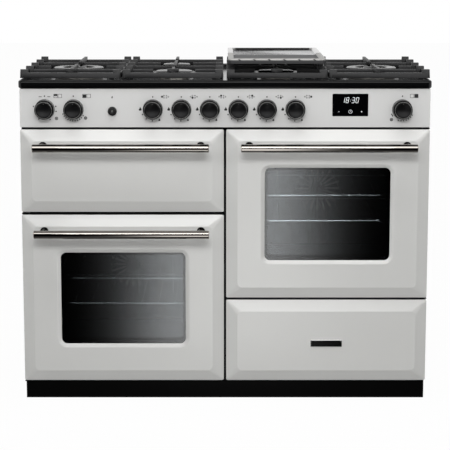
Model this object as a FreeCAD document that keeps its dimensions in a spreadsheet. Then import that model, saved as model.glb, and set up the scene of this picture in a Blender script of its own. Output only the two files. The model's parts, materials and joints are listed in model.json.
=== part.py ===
import FreeCAD, Part
import math
import os
import re
import Sketcher

# Dual fuel range cooker: front faces -Y, +Z is up, origin on the floor under its middle

SIZES = (
    # Whole cooker
    ("body_width", 1084), ("body_depth", 600), ("hob_top", 869), ("rail_height", 22.5),
    ("fascia_height", 102), ("door_height", 455), ("plinth_height", 50), ("base_gap", 4.5),
    ("front_gap", 6), ("grill_gap", 8), ("centre_gap", 6.4),
    ("fit_gap", 0.3), ("running_gap", 0.05), ("cut_over", 3), ("sheet_wall", 1.5),
    # Pressed fronts
    ("bevel_width", 30), ("bevel_rise", 12), ("panel_corner", 14), ("edge_corner", 4),
    ("skin_wall", 1.5), ("skin_depth", 20),
    # Door windows
    ("window_width", 334), ("window_height", 250), ("window_corner", 15), ("window_rise", 103.5),
    ("roll_width", 10), ("roll_depth", 5), ("glass_wall", 4), ("glass_margin", 14),
    ("liner_wall", 1.2), ("liner_flange", 6),
    # Bar handles
    ("bar_radius", 11), ("bar_length", 462), ("bar_reach", 65), ("bar_drop", 42),
    ("bar_chamfer", 1.5), ("post_radius", 8.5), ("post_spacing", 417), ("post_foot", 11),
    ("post_foot_height", 4),
    # Door hinges
    ("pin_radius", 4), ("pin_inset", 10), ("pin_setback", 9), ("hinge_plate", 3),
    ("hinge_plate_width", 18), ("hinge_block_width", 19), ("hinge_block_height", 34),
    ("hinge_clearance", 1),
    # Front frame and seals
    ("seal_depth", 7), ("seal_width", 10), ("seal_inset", 4), ("frame_wall", 3),
    # Oven cavities
    ("oven_width", 430), ("oven_height", 350), ("oven_depth", 440), ("oven_corner", 25),
    ("oven_rise", 52.5), ("oven_wall", 2), ("mouth_flange", 14),
    # Shelves and their ladders
    ("ladder_radius", 3), ("rung_radius", 2.5), ("rung_bend", 5), ("rung_reach", 9),
    ("rung_pitch", 70), ("ladder_length", 340), ("ladder_height", 300), ("ladder_setback", 50),
    ("shelf_radius", 3), ("wire_radius", 1.8), ("wire_pitch", 46), ("shelf_depth", 366),
    ("shelf_corner", 14), ("shelf_setback", 34), ("shelf_overlap", 2),
    ("ladder_foot", 25),
    # Oven fans
    ("fan_radius", 74), ("fan_depth", 15), ("fan_hub", 12), ("fan_wall", 1.2), ("blade_length", 24),
    ("shaft_radius", 4), ("shaft_length", 26), ("motor_radius", 32), ("motor_depth", 46),
    ("cover_size", 236), ("cover_stand", 24), ("cover_corner", 30), ("cover_slot_width", 7),
    ("cover_slot_inner", 22), ("cover_slot_outer", 66), ("motor_plate", 96), ("motor_bore", 28),
    ("fan_gap", 3), ("element_tail", 20), ("element_elbow", 8),
    # Heating elements
    ("element_radius", 3.2), ("ring_element_radius", 92), ("grill_element_bend", 20),
    ("grill_element_width", 380), ("grill_element_depth", 250), ("grill_element_drop", 20),
    ("grill_element_setback", 60),
    # Carcass
    ("side_flange", 18), ("centre_width", 12), ("back_wall", 1.2), ("base_wall", 2), ("base_flange", 20),
    ("back_inset", 10), ("slot_length", 86), ("slot_height", 5), ("slot_pitch", 14),
    ("slot_field", 300), ("vent_rise", 560), ("inlet_hole", 16),
    ("gland_radius", 11), ("gland_wall", 3), ("gland_depth", 7), ("gland_side", 440),
    ("gland_rise", 130),
    # Plinth and feet
    ("plinth_inset_side", 2), ("plinth_inset_front", 12), ("plinth_lift", 2), ("plinth_return", 60),
    ("foot_radius", 19), ("foot_height", 8), ("stem_radius", 6), ("nut_radius", 11),
    ("nut_height", 8), ("foot_side", 490), ("foot_front", 160), ("foot_back", 280),
    # Grill compartment
    ("grill_sill", 14), ("chamber_depth", 430), ("rail_depth", 11),
    ("rail_side_height", 38), ("rail_length", 400), ("rail_thickness", 1.5), ("grill_rail_lift", 30),
    ("arm_height", 26), ("arm_width", 4), ("pan_height", 34), ("pan_wall", 1.5), ("pan_depth", 360),
    ("pan_lip", 12), ("pan_corner", 20), ("trivet_radius", 2.5), ("trivet_pitch", 36),
    ("trivet_inset", 26), ("trivet_stand", 12), ("pan_shelf_wall", 2), ("pan_side_gap", 24),
    ("chamber_gap", 2), ("stop_gap", 12), ("arm_length", 392), ("arm_lift", 6), ("pan_setback", 22),
    ("pan_draft", 3), ("trivet_leg_side", 180), ("trivet_leg_inset", 60),
    # Storage drawer
    ("drawer_sill", 12), ("drawer_box_height", 150), ("drawer_box_depth", 400),
    ("drawer_box_lift", 16), ("drawer_rail_lift", 22), ("drawer_side_gap", 1),
    # Hob
    ("rail_overhang", 4), ("rail_nose", 5), ("rail_corner", 18), ("rail_edge", 6),
    ("trim_side", 15), ("trim_front", 24), ("trim_back", 44), ("trim_inner_corner", 10),
    ("trim_skirt", 8), ("trim_top", 3), ("hob_floor_drop", 11), ("tray_wall", 1.5), ("tray_lip", 8),
    ("tray_corner", 9),
    ("vent_slot_length", 120), ("vent_slot_width", 7), ("vent_slot_pitch", 160),
    # Burners
    ("wide_burner", 68), ("front_burner", 48), ("back_burner", 37), ("burner_side", 139),
    ("wide_burner_side", 411), ("burner_row", 120), ("hob_setback", 281.5),
    ("burner_foot", 7), ("head_height", 12), ("cap_height", 5), ("cap_overhang", 1.5),
    ("cap_edge", 2), ("port_width", 2.4), ("port_depth", 5), ("port_drop", 4), ("cup_radius", 15),
    ("cup_depth", 20), ("moat_width", 9), ("inner_crown", 22), ("ring_crown", 20), ("head_chamfer", 4),
    ("probe_radius", 2.5), ("probe_height", 21), ("probe_gap", 3), ("probe_angle", 24),
    # Pan supports
    ("support_width", 268), ("support_depth", 483), ("support_bar", 9), ("bar_top", 27),
    ("bar_height", 14), ("finger_top", 36), ("finger_width", 8), ("support_pad", 22),
    ("support_pad_depth", 15), ("support_corner", 7), ("cell_corner", 9), ("wide_eye", 44),
    ("small_eye", 26), ("eye_gap", 10), ("head_width", 31), ("head_depth", 9), ("head_setback", 27),
    ("support_foot", 12), ("foot_inset", 18), ("cast_edge", 2), ("casting_draft", 3),
    # Griddle
    ("griddle_width", 262), ("griddle_depth", 455), ("griddle_rise", 14), ("griddle_height", 13),
    ("griddle_wall", 5), ("griddle_rim", 13), ("griddle_slope", 5), ("griddle_front", 26),
    ("griddle_corner", 12), ("rib_pitch", 40), ("rib_width", 5), ("rib_slant", 8),
    ("griddle_foot", 14), ("griddle_edge", 2), ("griddle_recess", 6), ("rib_inset", 4), ("rib_depth", 3),
    # Control panel
    ("panel_depth", 26), ("panel_edge", 2), ("spindle_radius", 4), ("spindle_clearance", 1.5),
    ("knob_radius", 25), ("knob_depth", 27), ("knob_gap", 1.5), ("knob_bevel", 6),
    ("knob_face_drop", 1.2), ("knob_rim", 1.5), ("skirt_depth", 4), ("skirt_radius", 23.5),
    ("spindle_length", 26), ("knob_rise", 47.5),
    ("gas_knob_first", 190.6), ("gas_knob_pitch", 75.3), ("grill_knob_side", 476),
    ("left_knob_side", 400), ("right_knob_side", 467.8), ("button_side", 297.7),
    ("button_rise", 42.5), ("button_radius", 10.5), ("button_depth", 9), ("button_travel", 3),
    ("display_left", 283.6), ("display_width", 94.2), ("display_height", 59),
    ("display_rise", 29.5), ("display_wall", 4), ("display_proud", 0.6), ("module_depth", 22),
    ("module_inset", 6), ("display_corner", 2),
    # Gas fittings and switches
    ("tap_width", 22), ("tap_depth", 36), ("tap_height", 28), ("tap_setback", 10),
    ("manifold_radius", 9), ("manifold_end", 20), ("inlet_side", 500), ("inlet_radius", 10.5),
    ("inlet_nut_radius", 14), ("inlet_nut_depth", 12), ("pipe_radius", 4), ("pipe_bend", 10),
    ("pipe_rise", 18), ("switch_size", 42), ("switch_depth", 28),
)

# Places worked out from the sizes

LAYOUT = (
    ("y_front", "-(body_depth + bar_reach + bar_radius)/2 + bar_reach + bar_radius"),
    ("y_back", "y_front + body_depth"),
    ("half_width", "body_width/2"),
    ("rail_bottom", "hob_top - rail_height"),
    ("fascia_bottom", "rail_bottom - fascia_height"),
    ("front_top", "fascia_bottom - front_gap"),
    ("front_bottom", "plinth_height + base_gap"),
    ("front_width", "(body_width - centre_gap)/2"),
    ("front_x", "(centre_gap + front_width)/2"),
    ("left_door_top", "front_bottom + door_height"),
    ("grill_bottom", "left_door_top + grill_gap"),
    ("grill_height", "front_top - grill_bottom"),
    ("right_door_bottom", "front_top - door_height"),
    ("drawer_top", "right_door_bottom - front_gap"),
    ("drawer_height", "drawer_top - front_bottom"),
    ("y_rise", "y_front - bevel_rise"),
    ("y_door_back", "y_front + skin_depth"),
    ("y_frame", "y_door_back + fit_gap + seal_depth"),
    ("y_inside", "y_frame + frame_wall"),
    ("y_bar", "y_front - bar_reach"),
    ("pin_x", "half_width - pin_inset"),
    ("pin_y", "y_front + pin_setback"),
    ("y_glass", "y_rise + roll_depth + skin_wall + fit_gap"),
    ("y_back_panel", "y_back - back_inset"),
    ("side_inner", "half_width - sheet_wall"),
    ("left_oven_low", "front_bottom + oven_rise"),
    ("right_oven_low", "right_door_bottom + oven_rise"),
    ("y_oven_back", "y_inside + oven_depth"),
    ("fan_rise", "oven_height/2"),
    ("y_cover", "y_oven_back - cover_stand - fit_gap"),
    ("y_fan", "y_oven_back - fan_gap"),
    ("oven_half", "oven_width/2"),
    ("ladder_line", "oven_half - ladder_radius - fit_gap"),
    ("knob_z", "fascia_bottom + knob_rise"),
    ("y_panel_in", "y_front + sheet_wall"),
    ("y_tap", "y_panel_in + tap_setback"),
    ("y_manifold", "y_tap + tap_depth + manifold_radius"),
    ("pipe_z", "knob_z + tap_height/2 + pipe_rise"),
    ("hob_floor", "hob_top - hob_floor_drop"),
    ("hob_y", "y_front + hob_setback"),
    ("cup_bottom", "hob_floor - tray_wall - cup_depth"),
    ("base_bottom", "plinth_height + fit_gap"),
    ("grill_floor", "grill_bottom + grill_sill"),
    ("grill_ceiling", "front_top - grill_sill/2"),
    ("column_inner", "centre_width/2 + fit_gap"),
    ("column_outer", "side_inner - fit_gap"),
    ("column_x", "(column_inner + column_outer)/2"),
    ("column_width", "column_outer - column_inner"),
    ("grill_rail_z", "grill_floor + grill_rail_lift"),
    ("drawer_floor", "front_bottom + drawer_sill"),
    ("drawer_rail_z", "drawer_floor + drawer_rail_lift"),
    ("grill_arm_z", "grill_rail_z + arm_lift"),
    ("rail_line", "chamber_gap + rail_thickness"),
    ("arm_inner", "column_width/2 - chamber_gap - rail_depth - arm_width"),
    ("pan_half", "arm_inner - pan_side_gap"),
    ("y_pan", "y_inside + pan_setback"),
    ("griddle_z", "hob_floor + finger_top + griddle_rise"),
    ("bar_pitch", "(support_depth - support_pad_depth)/4"),
)

NAMED_SIZES = {name for name, number in SIZES}
NAMED_PLACES = {name for name, text in LAYOUT}

doc = FreeCAD.newDocument("RangeCooker")
sheet = doc.addObject("Spreadsheet::Sheet", "Sizes")
layout = doc.addObject("App::VarSet", "Layout")


def words(text):
    # Points each name in a formula at its cell or its worked out place
    def target(match):
        word = match.group()
        if word in NAMED_SIZES:
            return "Sizes." + word
        if word in NAMED_PLACES:
            return "Layout." + word
        return word
    return re.sub(r"[a-z_]+", target, text)


for row, (name, number) in enumerate(SIZES, 1):
    sheet.set(f"A{row}", name)
    sheet.set(f"B{row}", str(number))
    sheet.setAlias(f"B{row}", name)
doc.recompute()
for name, text in LAYOUT:
    layout.addProperty("App::PropertyFloat", name, "Layout")
    layout.setExpression(name, words(text))
doc.recompute()


def size(name):
    return getattr(sheet, name) if name in NAMED_SIZES else getattr(layout, name)


def bind(thing, **formulas):
    for prop, text in formulas.items():
        thing.setExpression(prop.replace("_", ".") if prop.startswith("Placement") else prop, words(text))
    return thing


def put(thing, x="0", y="0", z="0"):
    return bind(thing, Placement_Base_x=x, Placement_Base_y=y, Placement_Base_z=z)


# Solids between named places

def block(name, x, y, z):
    thing = doc.addObject("Part::Box", name)
    bind(thing, Length=f"({x[1]}) - ({x[0]})", Width=f"({y[1]}) - ({y[0]})", Height=f"({z[1]}) - ({z[0]})")
    return put(thing, x[0], y[0], z[0])


TURNS = {
    "x": FreeCAD.Rotation(FreeCAD.Vector(0, 1, 0), 90),
    "y": FreeCAD.Rotation(FreeCAD.Vector(1, 0, 0), -90),
    "z": FreeCAD.Rotation(),
}


def rod(name, along, start, length, radius):
    thing = doc.addObject("Part::Cylinder", name)
    thing.Placement = FreeCAD.Placement(FreeCAD.Vector(), TURNS[along])
    bind(thing, Radius=radius, Height=length)
    return put(thing, *start)


def cut(name, base, tool):
    thing = doc.addObject("Part::Cut", name)
    thing.Base = base
    thing.Tool = tool
    return thing


def join(name, pieces):
    thing = doc.addObject("Part::MultiFuse", name)
    thing.Shapes = pieces
    return thing


def group(name, pieces):
    thing = doc.addObject("Part::Compound", name)
    thing.Links = pieces
    return thing


# Sketches whose every point follows a formula

def new_body(name):
    return doc.addObject("PartDesign::Body", name)


def new_sketch(body, name, role, offset="0"):
    drawing = body.newObject("Sketcher::SketchObject", name)
    plane = next(item for item in body.Origin.OriginFeatures if item.Role == role)
    drawing.AttachmentSupport = (plane, [""])
    drawing.MapMode = "FlatFace"
    drawing.setExpression("AttachmentOffset.Base.z", words(offset))
    return drawing


def hold(drawing, kind, refs, start, text):
    number = drawing.addConstraint(Sketcher.Constraint(kind, *refs, start))
    drawing.setExpression(f"Constraints[{number}]", words(text))


def outline(drawing, points):
    first = drawing.GeometryCount
    count = len(points)
    ring = [FreeCAD.Vector(math.cos(i * math.tau / count), math.sin(i * math.tau / count), 0)
            for i in range(count)]
    for i in range(count):
        drawing.addGeometry(Part.LineSegment(ring[i], ring[(i + 1) % count]), False)
    for i in range(count):
        after = first + (i + 1) % count
        drawing.addConstraint(Sketcher.Constraint("Coincident", first + i, 2, after, 1))
    for i, (x, y) in enumerate(points):
        hold(drawing, "DistanceX", (-1, 1, first + i, 1), ring[i].x, x)
        hold(drawing, "DistanceY", (-1, 1, first + i, 1), ring[i].y, y)
    return drawing


def rounded(drawing, x, y, radius):
    first = drawing.GeometryCount
    unit = FreeCAD.Vector(1, 1, 0)
    spread = 2
    for i in range(4):
        turn = FreeCAD.Rotation(FreeCAD.Vector(0, 0, 1), 90 * i)
        circle = Part.Circle(turn.multVec(unit * spread), FreeCAD.Vector(0, 0, 1), 1)
        drawing.addGeometry(Part.ArcOfCircle(circle, i * math.pi / 2, (i + 1) * math.pi / 2), False)
    for i in range(4):
        start = drawing.Geometry[first + i].EndPoint
        end = drawing.Geometry[first + (i + 1) % 4].StartPoint
        drawing.addGeometry(Part.LineSegment(start, end), False)
    for i in range(4):
        side = first + 4 + i
        drawing.addConstraint(Sketcher.Constraint("Tangent", first + i, 2, side, 1))
        drawing.addConstraint(Sketcher.Constraint("Tangent", side, 2, first + (i + 1) % 4, 1))
        drawing.addConstraint(Sketcher.Constraint("Vertical" if i % 2 else "Horizontal", side))
    for i in (1, 2, 3):
        drawing.addConstraint(Sketcher.Constraint("Equal", first, first + i))
    hold(drawing, "DistanceX", (-1, 1, first + 5, 1), -spread, x[0])
    hold(drawing, "DistanceX", (-1, 1, first + 7, 1), spread, x[1])
    hold(drawing, "DistanceY", (-1, 1, first + 6, 1), -spread, y[0])
    hold(drawing, "DistanceY", (-1, 1, first + 4, 1), spread, y[1])
    hold(drawing, "Radius", (first,), 1, radius)
    return drawing


def circle(drawing, x, y, radius):
    first = drawing.GeometryCount
    drawing.addGeometry(Part.Circle(FreeCAD.Vector(1, 1, 0), FreeCAD.Vector(0, 0, 1), 1), False)
    hold(drawing, "DistanceX", (-1, 1, first, 3), 1, x)
    hold(drawing, "DistanceY", (-1, 1, first, 3), 1, y)
    hold(drawing, "Radius", (first,), 1, radius)
    return drawing


def feature(body, kind, name, drawing, length=None, back=False, **more):
    thing = body.newObject("PartDesign::" + kind, name)
    thing.Profile = drawing
    thing.Reversed = back
    if length:
        bind(thing, Length=length)
    for prop, entry in more.items():
        setattr(thing, prop, entry)
    drawing.Visibility = False
    return thing


def pad(body, drawing, length, back=False):
    return feature(body, "Pad", drawing.Name + "_pad", drawing, length, back)


def pocket(body, drawing, length, back=False):
    return feature(body, "Pocket", drawing.Name + "_cut", drawing, length, back)


def spin(body, drawing, axis, kind="Revolution"):
    thing = feature(body, kind, drawing.Name + "_turn", drawing)
    thing.ReferenceAxis = (drawing, [axis])
    thing.Angle = 360
    return thing


def loft(body, kind, name, first, last):
    thing = body.newObject("PartDesign::" + kind, name)
    thing.Profile = first
    thing.Sections = [last]
    thing.Ruled = True
    return thing


def axis_of(body, role):
    return next(item for item in body.Origin.OriginFeatures if item.Role == role)


def line_up(body, source, role, count, length, back=False):
    thing = body.newObject("PartDesign::LinearPattern", source.Name + "_line")
    thing.Originals = [source]
    thing.Direction = (axis_of(body, role), [""])
    thing.Reversed = back
    thing.Occurrences = count
    bind(thing, Length=length)
    body.Tip = thing
    return thing


def ring(body, source, role, count):
    thing = body.newObject("PartDesign::PolarPattern", source.Name + "_ring")
    thing.Originals = [source]
    thing.Axis = (axis_of(body, role), [""])
    thing.Angle = 360
    thing.Occurrences = count
    body.Tip = thing
    return thing


def dress(body, kind, name, amount, wanted):
    # Rounds or chamfers the edges of the body's last feature that wanted picks
    doc.recompute()
    base = body.Tip
    names = [f"Edge{i}" for i, edge in enumerate(base.Shape.Edges, 1) if wanted(edge)]
    thing = body.newObject("PartDesign::" + kind, name)
    thing.Base = (base, names)
    bind(thing, **{"Radius" if kind == "Fillet" else "Size": amount})
    return thing


def level(edge, axis, place):
    box = edge.BoundBox
    low, high = getattr(box, axis + "Min"), getattr(box, axis + "Max")
    return abs(low - place) < 1e-4 and abs(high - place) < 1e-4


# Bent rods and pipes along a named route

def route(points, bend):
    corners = [FreeCAD.Vector(*point) for point in points]
    edges = []
    start = corners[0]
    for before, corner, after in zip(corners, corners[1:], corners[2:]):
        inward = (before - corner).normalize()
        outward = (after - corner).normalize()
        half = inward.getAngle(outward) / 2
        reach = bend / math.tan(half)
        entry = corner + inward * reach
        leave = corner + outward * reach
        middle = (inward + outward).normalize()
        crest = corner + middle * (bend / math.sin(half) - bend)
        edges.append(Part.LineSegment(start, entry).toShape())
        edges.append(Part.Arc(entry, crest, leave).toShape())
        start = leave
    edges.append(Part.LineSegment(start, corners[-1]).toShape())
    return Part.Wire(edges)


def sweep(path, radius):
    first = path.OrderedEdges[0]
    direction = first.tangentAt(first.FirstParameter)
    start = first.valueAt(first.FirstParameter)
    profile = Part.Wire([Part.makeCircle(radius, start, direction)])
    return path.makePipeShell([profile], True, False)


def pipe(points, bend, radius):
    return sweep(route(points, bend), radius)


def ring_with_tails(centre, radius, tail, elbow, length):
    # Nearly a full circle that faces along y, with both ends turned back beside each other
    drop = math.sqrt(radius ** 2 - tail ** 2)
    back = FreeCAD.Vector(0, 1, 0)
    edges = []
    ends = []
    for side in (-1, 1):
        end = centre + FreeCAD.Vector(side * tail, 0, -drop)
        inward = FreeCAD.Vector(-side * drop, 0, -tail).normalize()
        corner = end + inward * elbow
        leave = corner + back * elbow
        crest = end + back * elbow + (inward - back).normalize() * elbow
        edges.append(Part.LineSegment(corner + back * length, leave).toShape())
        edges.append(Part.Arc(leave, crest, end).toShape())
        ends.append(end)
    top = centre + FreeCAD.Vector(0, 0, radius)
    edges.append(Part.Arc(ends[0], top, ends[1]).toShape())
    return Part.Wire(Part.__sortEdges__(edges))


def shape_object(name, shape):
    thing = doc.addObject("Part::Feature", name)
    thing.Shape = shape
    return thing


SUB_PARTS = []


def keep(thing, label):
    thing.Label = label
    SUB_PARTS.append(thing)
    return thing


# Pressed front panels: a flat field raised by a mitred bevel, with flanges folded back

def front_skin(name, width, height):
    body = new_body(name)
    half, tall = f"({width})/2", f"({height})/2"

    def ring_sketch(tag, offset, inset, corner):
        drawing = new_sketch(body, name + tag, "XZ_Plane", offset)
        return rounded(drawing, (f"-{half} + {inset}", f"{half} - {inset}"),
                       (f"-{tall} + {inset}", f"{tall} - {inset}"), corner)
    edge = ring_sketch("_edge", "0", "0", "edge_corner")
    field = ring_sketch("_field", "bevel_rise", "bevel_width", "panel_corner")
    pad(body, edge, "skin_depth", True)
    loft(body, "AdditiveLoft", name + "_bevel", edge, field)
    inner_edge = ring_sketch("_inner_edge", "0", "skin_wall", "edge_corner - skin_wall")
    inner_field = ring_sketch("_inner_field", "bevel_rise - skin_wall", "bevel_width + skin_wall",
                              "panel_corner")
    pocket(body, inner_edge, "skin_depth + cut_over")
    loft(body, "SubtractiveLoft", name + "_hollow", inner_edge, inner_field)
    return body


def window_sketch(body, name, offset, spread):
    drawing = new_sketch(body, name, "XZ_Plane", offset)
    low = "-door_height/2 + window_rise"
    return rounded(drawing, (f"-window_width/2 - {spread}", f"window_width/2 + {spread}"),
                   (f"{low} - {spread}", f"{low} + window_height + {spread}"), f"window_corner + {spread}")


def door_skin(name, x, z):
    skin = front_skin(name, "front_width", "door_height")
    outer = window_sketch(skin, name + "_roll_root", "bevel_rise - skin_wall/2", "roll_width + skin_wall")
    inner = window_sketch(skin, name + "_roll_end", "bevel_rise - roll_depth - skin_wall", "skin_wall")
    loft(skin, "AdditiveLoft", name + "_roll", outer, inner)
    mouth = window_sketch(skin, name + "_mouth", "bevel_rise", "roll_width")
    throat = window_sketch(skin, name + "_throat", "bevel_rise - roll_depth - skin_wall", "0")
    loft(skin, "SubtractiveLoft", name + "_mouth_cut", mouth, throat)
    return put(skin, x, "y_front", z)


def bar_handle(name, x, z):
    body = new_body(name)
    profile = new_sketch(body, name + "_profile", "XY_Plane")
    outline(profile, [
        ("-bar_length/2", "0"), ("bar_length/2", "0"), ("bar_length/2", "bar_radius - bar_chamfer"),
        ("bar_length/2 - bar_chamfer", "bar_radius"), ("-bar_length/2 + bar_chamfer", "bar_radius"),
        ("-bar_length/2", "bar_radius - bar_chamfer")])
    spin(body, profile, "H_Axis")
    posts = new_sketch(body, name + "_posts", "XZ_Plane")
    feet = new_sketch(body, name + "_feet", "XZ_Plane", "-bar_reach + bevel_rise + post_foot_height")
    for side in ("-", ""):
        circle(posts, f"{side}post_spacing/2", "0", "post_radius")
        circle(feet, f"{side}post_spacing/2", "0", "post_foot")
    pad(body, posts, "bar_reach - bevel_rise", True)
    pad(body, feet, "post_foot_height", True)
    return put(body, x, "y_bar", z)


# Hinge side of a door: two blocks in the skin's corners, each with a pin through the flange

def door_hinges(name, side, low):
    pieces = []
    for end, at, reach in (("low", low, "-1"), ("high", f"{low} + door_height", "1")):
        inward = f"({reach})*(skin_wall + fit_gap)"
        floor = f"{at} + skin_wall + fit_gap" if end == "low" else f"{at} - {inward} - hinge_block_height"
        x_edge = "half_width - edge_corner"
        x = (f"-({x_edge})", f"-({x_edge}) + hinge_block_width") if side == "-" else (
            f"{x_edge} - hinge_block_width", x_edge)
        y = ("y_front + skin_wall + fit_gap", "y_door_back - liner_flange - fit_gap")
        body = block(f"{name}_{end}_block", x, y, (floor, f"{floor} + hinge_block_height"))
        top = f"{at} - hinge_clearance - hinge_plate" if end == "low" else f"{floor} + hinge_block_height/2"
        length = "hinge_clearance + hinge_plate + skin_wall + fit_gap + hinge_block_height/2"
        pin = rod(f"{name}_{end}_pin", "z", (f"{side}pin_x", "pin_y", top), length, "pin_radius")
        pieces += [body, pin]
    return join(name, pieces)


def door(side, label, low):
    x = f"{side}front_x"
    middle = f"{low} + door_height/2"
    skin = door_skin(label + "_skin", x, middle)
    holes = rod(label + "_pin_hole", "z", (f"{side}pin_x", "pin_y", f"{low} - cut_over"),
                "door_height + 2*cut_over", "pin_radius")
    keep(cut(label + "_pierced", skin, holes), f"{label}_door_skin")
    keep(bar_handle(label + "_bar", x, f"{low} + door_height - bar_drop"), f"{label}_door_handle")
    keep(door_hinges(label + "_hinges", side, low), f"{label}_door_hinges")
    liner = new_body(label + "_liner")
    for tag, inset, corner, depth in (("_tray", "skin_wall + fit_gap", "edge_corner", "liner_flange"),
                                      ("_tray_inside", "skin_wall + fit_gap + liner_wall",
                                       "edge_corner - liner_wall", "")):
        face = new_sketch(liner, label + tag, "XZ_Plane", "0" if depth else "liner_wall")
        rounded(face, (f"-front_width/2 + {inset}", f"front_width/2 - ({inset})"),
                (f"-door_height/2 + {inset}", f"door_height/2 - ({inset})"), corner)
        if depth:
            pad(liner, face, depth)
        else:
            pocket(liner, face, "liner_flange + cut_over", True)
    mouth = window_sketch(liner, label + "_liner_mouth", "-cut_over", "0")
    pocket(liner, mouth, "liner_wall + 2*cut_over", True)
    keep(put(liner, x, "y_door_back", middle), f"{label}_door_liner")
    spread = "glass_margin"
    panes = []
    for tag, start in (("outer", "y_glass"), ("inner", "y_door_back - liner_wall - glass_wall")):
        pane = new_body(f"{label}_{tag}_pane")
        face = window_sketch(pane, f"{label}_{tag}_pane_face", "0", spread)
        pad(pane, face, "glass_wall", True)
        panes.append(put(pane, x, start, middle))
    keep(group(label + "_panes", panes), f"{label}_door_glass")


door("-", "left", "front_bottom")
door("", "right", "right_door_bottom")


# Grill: pressed front, handle, carriage with pan shelf, pan and wire trivet

def place_front(thing, x, z):
    return put(thing, x, "y_front", z)


def c_rail(name, x_wall, toward, y, z, height, depth, thickness):
    # A channel rail whose back stands at x_wall and whose mouth opens toward the drawer
    lo, hi = sorted((0, toward))
    outer = block(name + "_outer", (f"{x_wall} + ({lo})*({depth})", f"{x_wall} + ({hi})*({depth})"), y,
                  (z, f"{z} + {height}"))
    shift = f"{x_wall} + ({toward})*({thickness})"
    far = f"{x_wall} + ({toward})*({depth} + cut_over)"
    ends = (shift, far) if toward > 0 else (far, shift)
    inner = block(name + "_inner", ends, (f"{y[0]} - cut_over", f"{y[1]} + cut_over"),
                  (f"{z} + {thickness}", f"{z} + {height} - {thickness}"))
    return cut(name, outer, inner)


def runner_set(label, mirror_sign, z, back_length):
    # Outer rails of one drawer, fixed to the walls on both sides of its column
    rails = []
    inner_wall = f"{mirror_sign}(column_inner + chamber_gap)"
    outer_wall = f"{mirror_sign}(column_outer - chamber_gap)"
    flip = -1 if mirror_sign == "-" else 1
    for tag, wall, toward in (("inner", inner_wall, flip), ("outer", outer_wall, -flip)):
        rails.append(c_rail(f"{label}_{tag}_rail", wall, toward, ("y_inside", f"y_inside + {back_length}"),
                            z, "rail_side_height", "rail_depth", "rail_thickness"))
    return rails


outer_rails = runner_set("grill", "-", "grill_rail_z", "rail_length")
outer_rails += runner_set("drawer", "", "drawer_rail_z", "rail_length")
keep(group("rails", outer_rails), "runner_outer_rails")

# Middle members slide inside the grill's outer rails and carry the arms of the carriage
middles = []
arms = []
for tag, wall, toward in (("inner", "-(column_inner + chamber_gap)", -1),
                          ("outer", "-(column_outer - chamber_gap)", 1)):
    back = f"{wall} + ({toward})*(rail_thickness + fit_gap)"
    middles.append(c_rail(f"grill_{tag}_middle", back, toward,
                          ("y_inside + fit_gap", "y_inside + rail_length - stop_gap"),
                          "grill_rail_z + rail_thickness + fit_gap",
                          "rail_side_height - 2*(rail_thickness + fit_gap)",
                          "rail_depth - rail_thickness - fit_gap", "rail_thickness"))
    near = f"{back} + ({toward})*(rail_thickness + fit_gap)"
    far = f"{wall} + ({toward})*(rail_depth + arm_width)"
    ends = (near, far) if toward > 0 else (far, near)
    arms.append(block(f"grill_{tag}_arm", ends, ("y_door_back + fit_gap", "y_inside + arm_length"),
                      ("grill_arm_z", "grill_arm_z + arm_height")))
keep(group("grill_middles", middles), "grill_runner_middle")

skin = front_skin("grill_skin", "front_width", "grill_height")
keep(place_front(skin, "-front_x", "grill_bottom + grill_height/2"), "grill_front")
keep(bar_handle("grill_bar", "-front_x", "front_top - bar_drop"), "grill_handle")

def back_plate(name, x, low, high, wall):
    body = new_body(name)
    face = new_sketch(body, name + "_face", "XZ_Plane")
    half = "(front_width/2 - skin_wall - fit_gap)"
    rounded(face, (f"{x} - {half}", f"{x} + {half}"),
            (f"{low} + skin_wall + fit_gap", f"{high} - skin_wall - fit_gap"), "edge_corner - skin_wall")
    pad(body, face, wall)
    return put(body, "0", "y_door_back", "0")


# The carriage: back plate of the front, two arms in the rails and a frame that holds the pan
plate = back_plate("grill_plate", "-front_x", "grill_bottom", "front_top", "pan_shelf_wall")
bridge = block("grill_bridge", ("-(column_x + arm_inner)", "-(column_x - arm_inner)"),
               ("y_door_back", "y_inside + arm_length"), ("grill_arm_z", "grill_arm_z + pan_shelf_wall"))
pan_hole = block("pan_hole", ("-(column_x + pan_half)", "-(column_x - pan_half)"),
                 ("y_pan", "y_pan + pan_depth"),
                 ("grill_arm_z - cut_over", "grill_arm_z + cut_over + pan_shelf_wall"))
links = [block(f"grill_{tag}_link", ends, ("y_door_back", "y_door_back + fit_gap"),
               ("grill_arm_z", "grill_arm_z + arm_height"))
         for tag, ends in (("left", ("-(column_x + arm_inner) - arm_width", "-(column_x + arm_inner)")),
                           ("right", ("-(column_x - arm_inner)", "-(column_x - arm_inner) + arm_width")))]
keep(join("carriage", [plate, cut("pan_frame", bridge, pan_hole)] + arms + links), "grill_carriage")

pan = new_body("pan")
for tag, offset, inset, corner, length, way in (
        ("pan_body", "-pan_height", "pan_draft", "pan_corner", "pan_height", "pad"),
        ("pan_rim", "-pan_wall", "-pan_lip", "pan_corner + pan_lip", "pan_wall", "pad"),
        ("pan_inside", "pan_wall - pan_height", "pan_draft + pan_wall", "pan_corner - pan_wall",
         "pan_height + cut_over", "pocket")):
    face = new_sketch(pan, tag, "XY_Plane", offset)
    rounded(face, (f"-pan_half + {inset} + fit_gap", f"pan_half - ({inset}) - fit_gap"),
            (f"-pan_depth/2 + {inset} + fit_gap", f"pan_depth/2 - ({inset}) - fit_gap"), corner)
    if way == "pad":
        pad(pan, face, length)
    else:
        pocket(pan, face, length, True)
keep(put(pan, "-column_x", "y_pan + pan_depth/2", "grill_arm_z + pan_shelf_wall + pan_wall"), "grill_pan")


# Wire grids: a bent outer wire and straight wires from front to back

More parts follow.
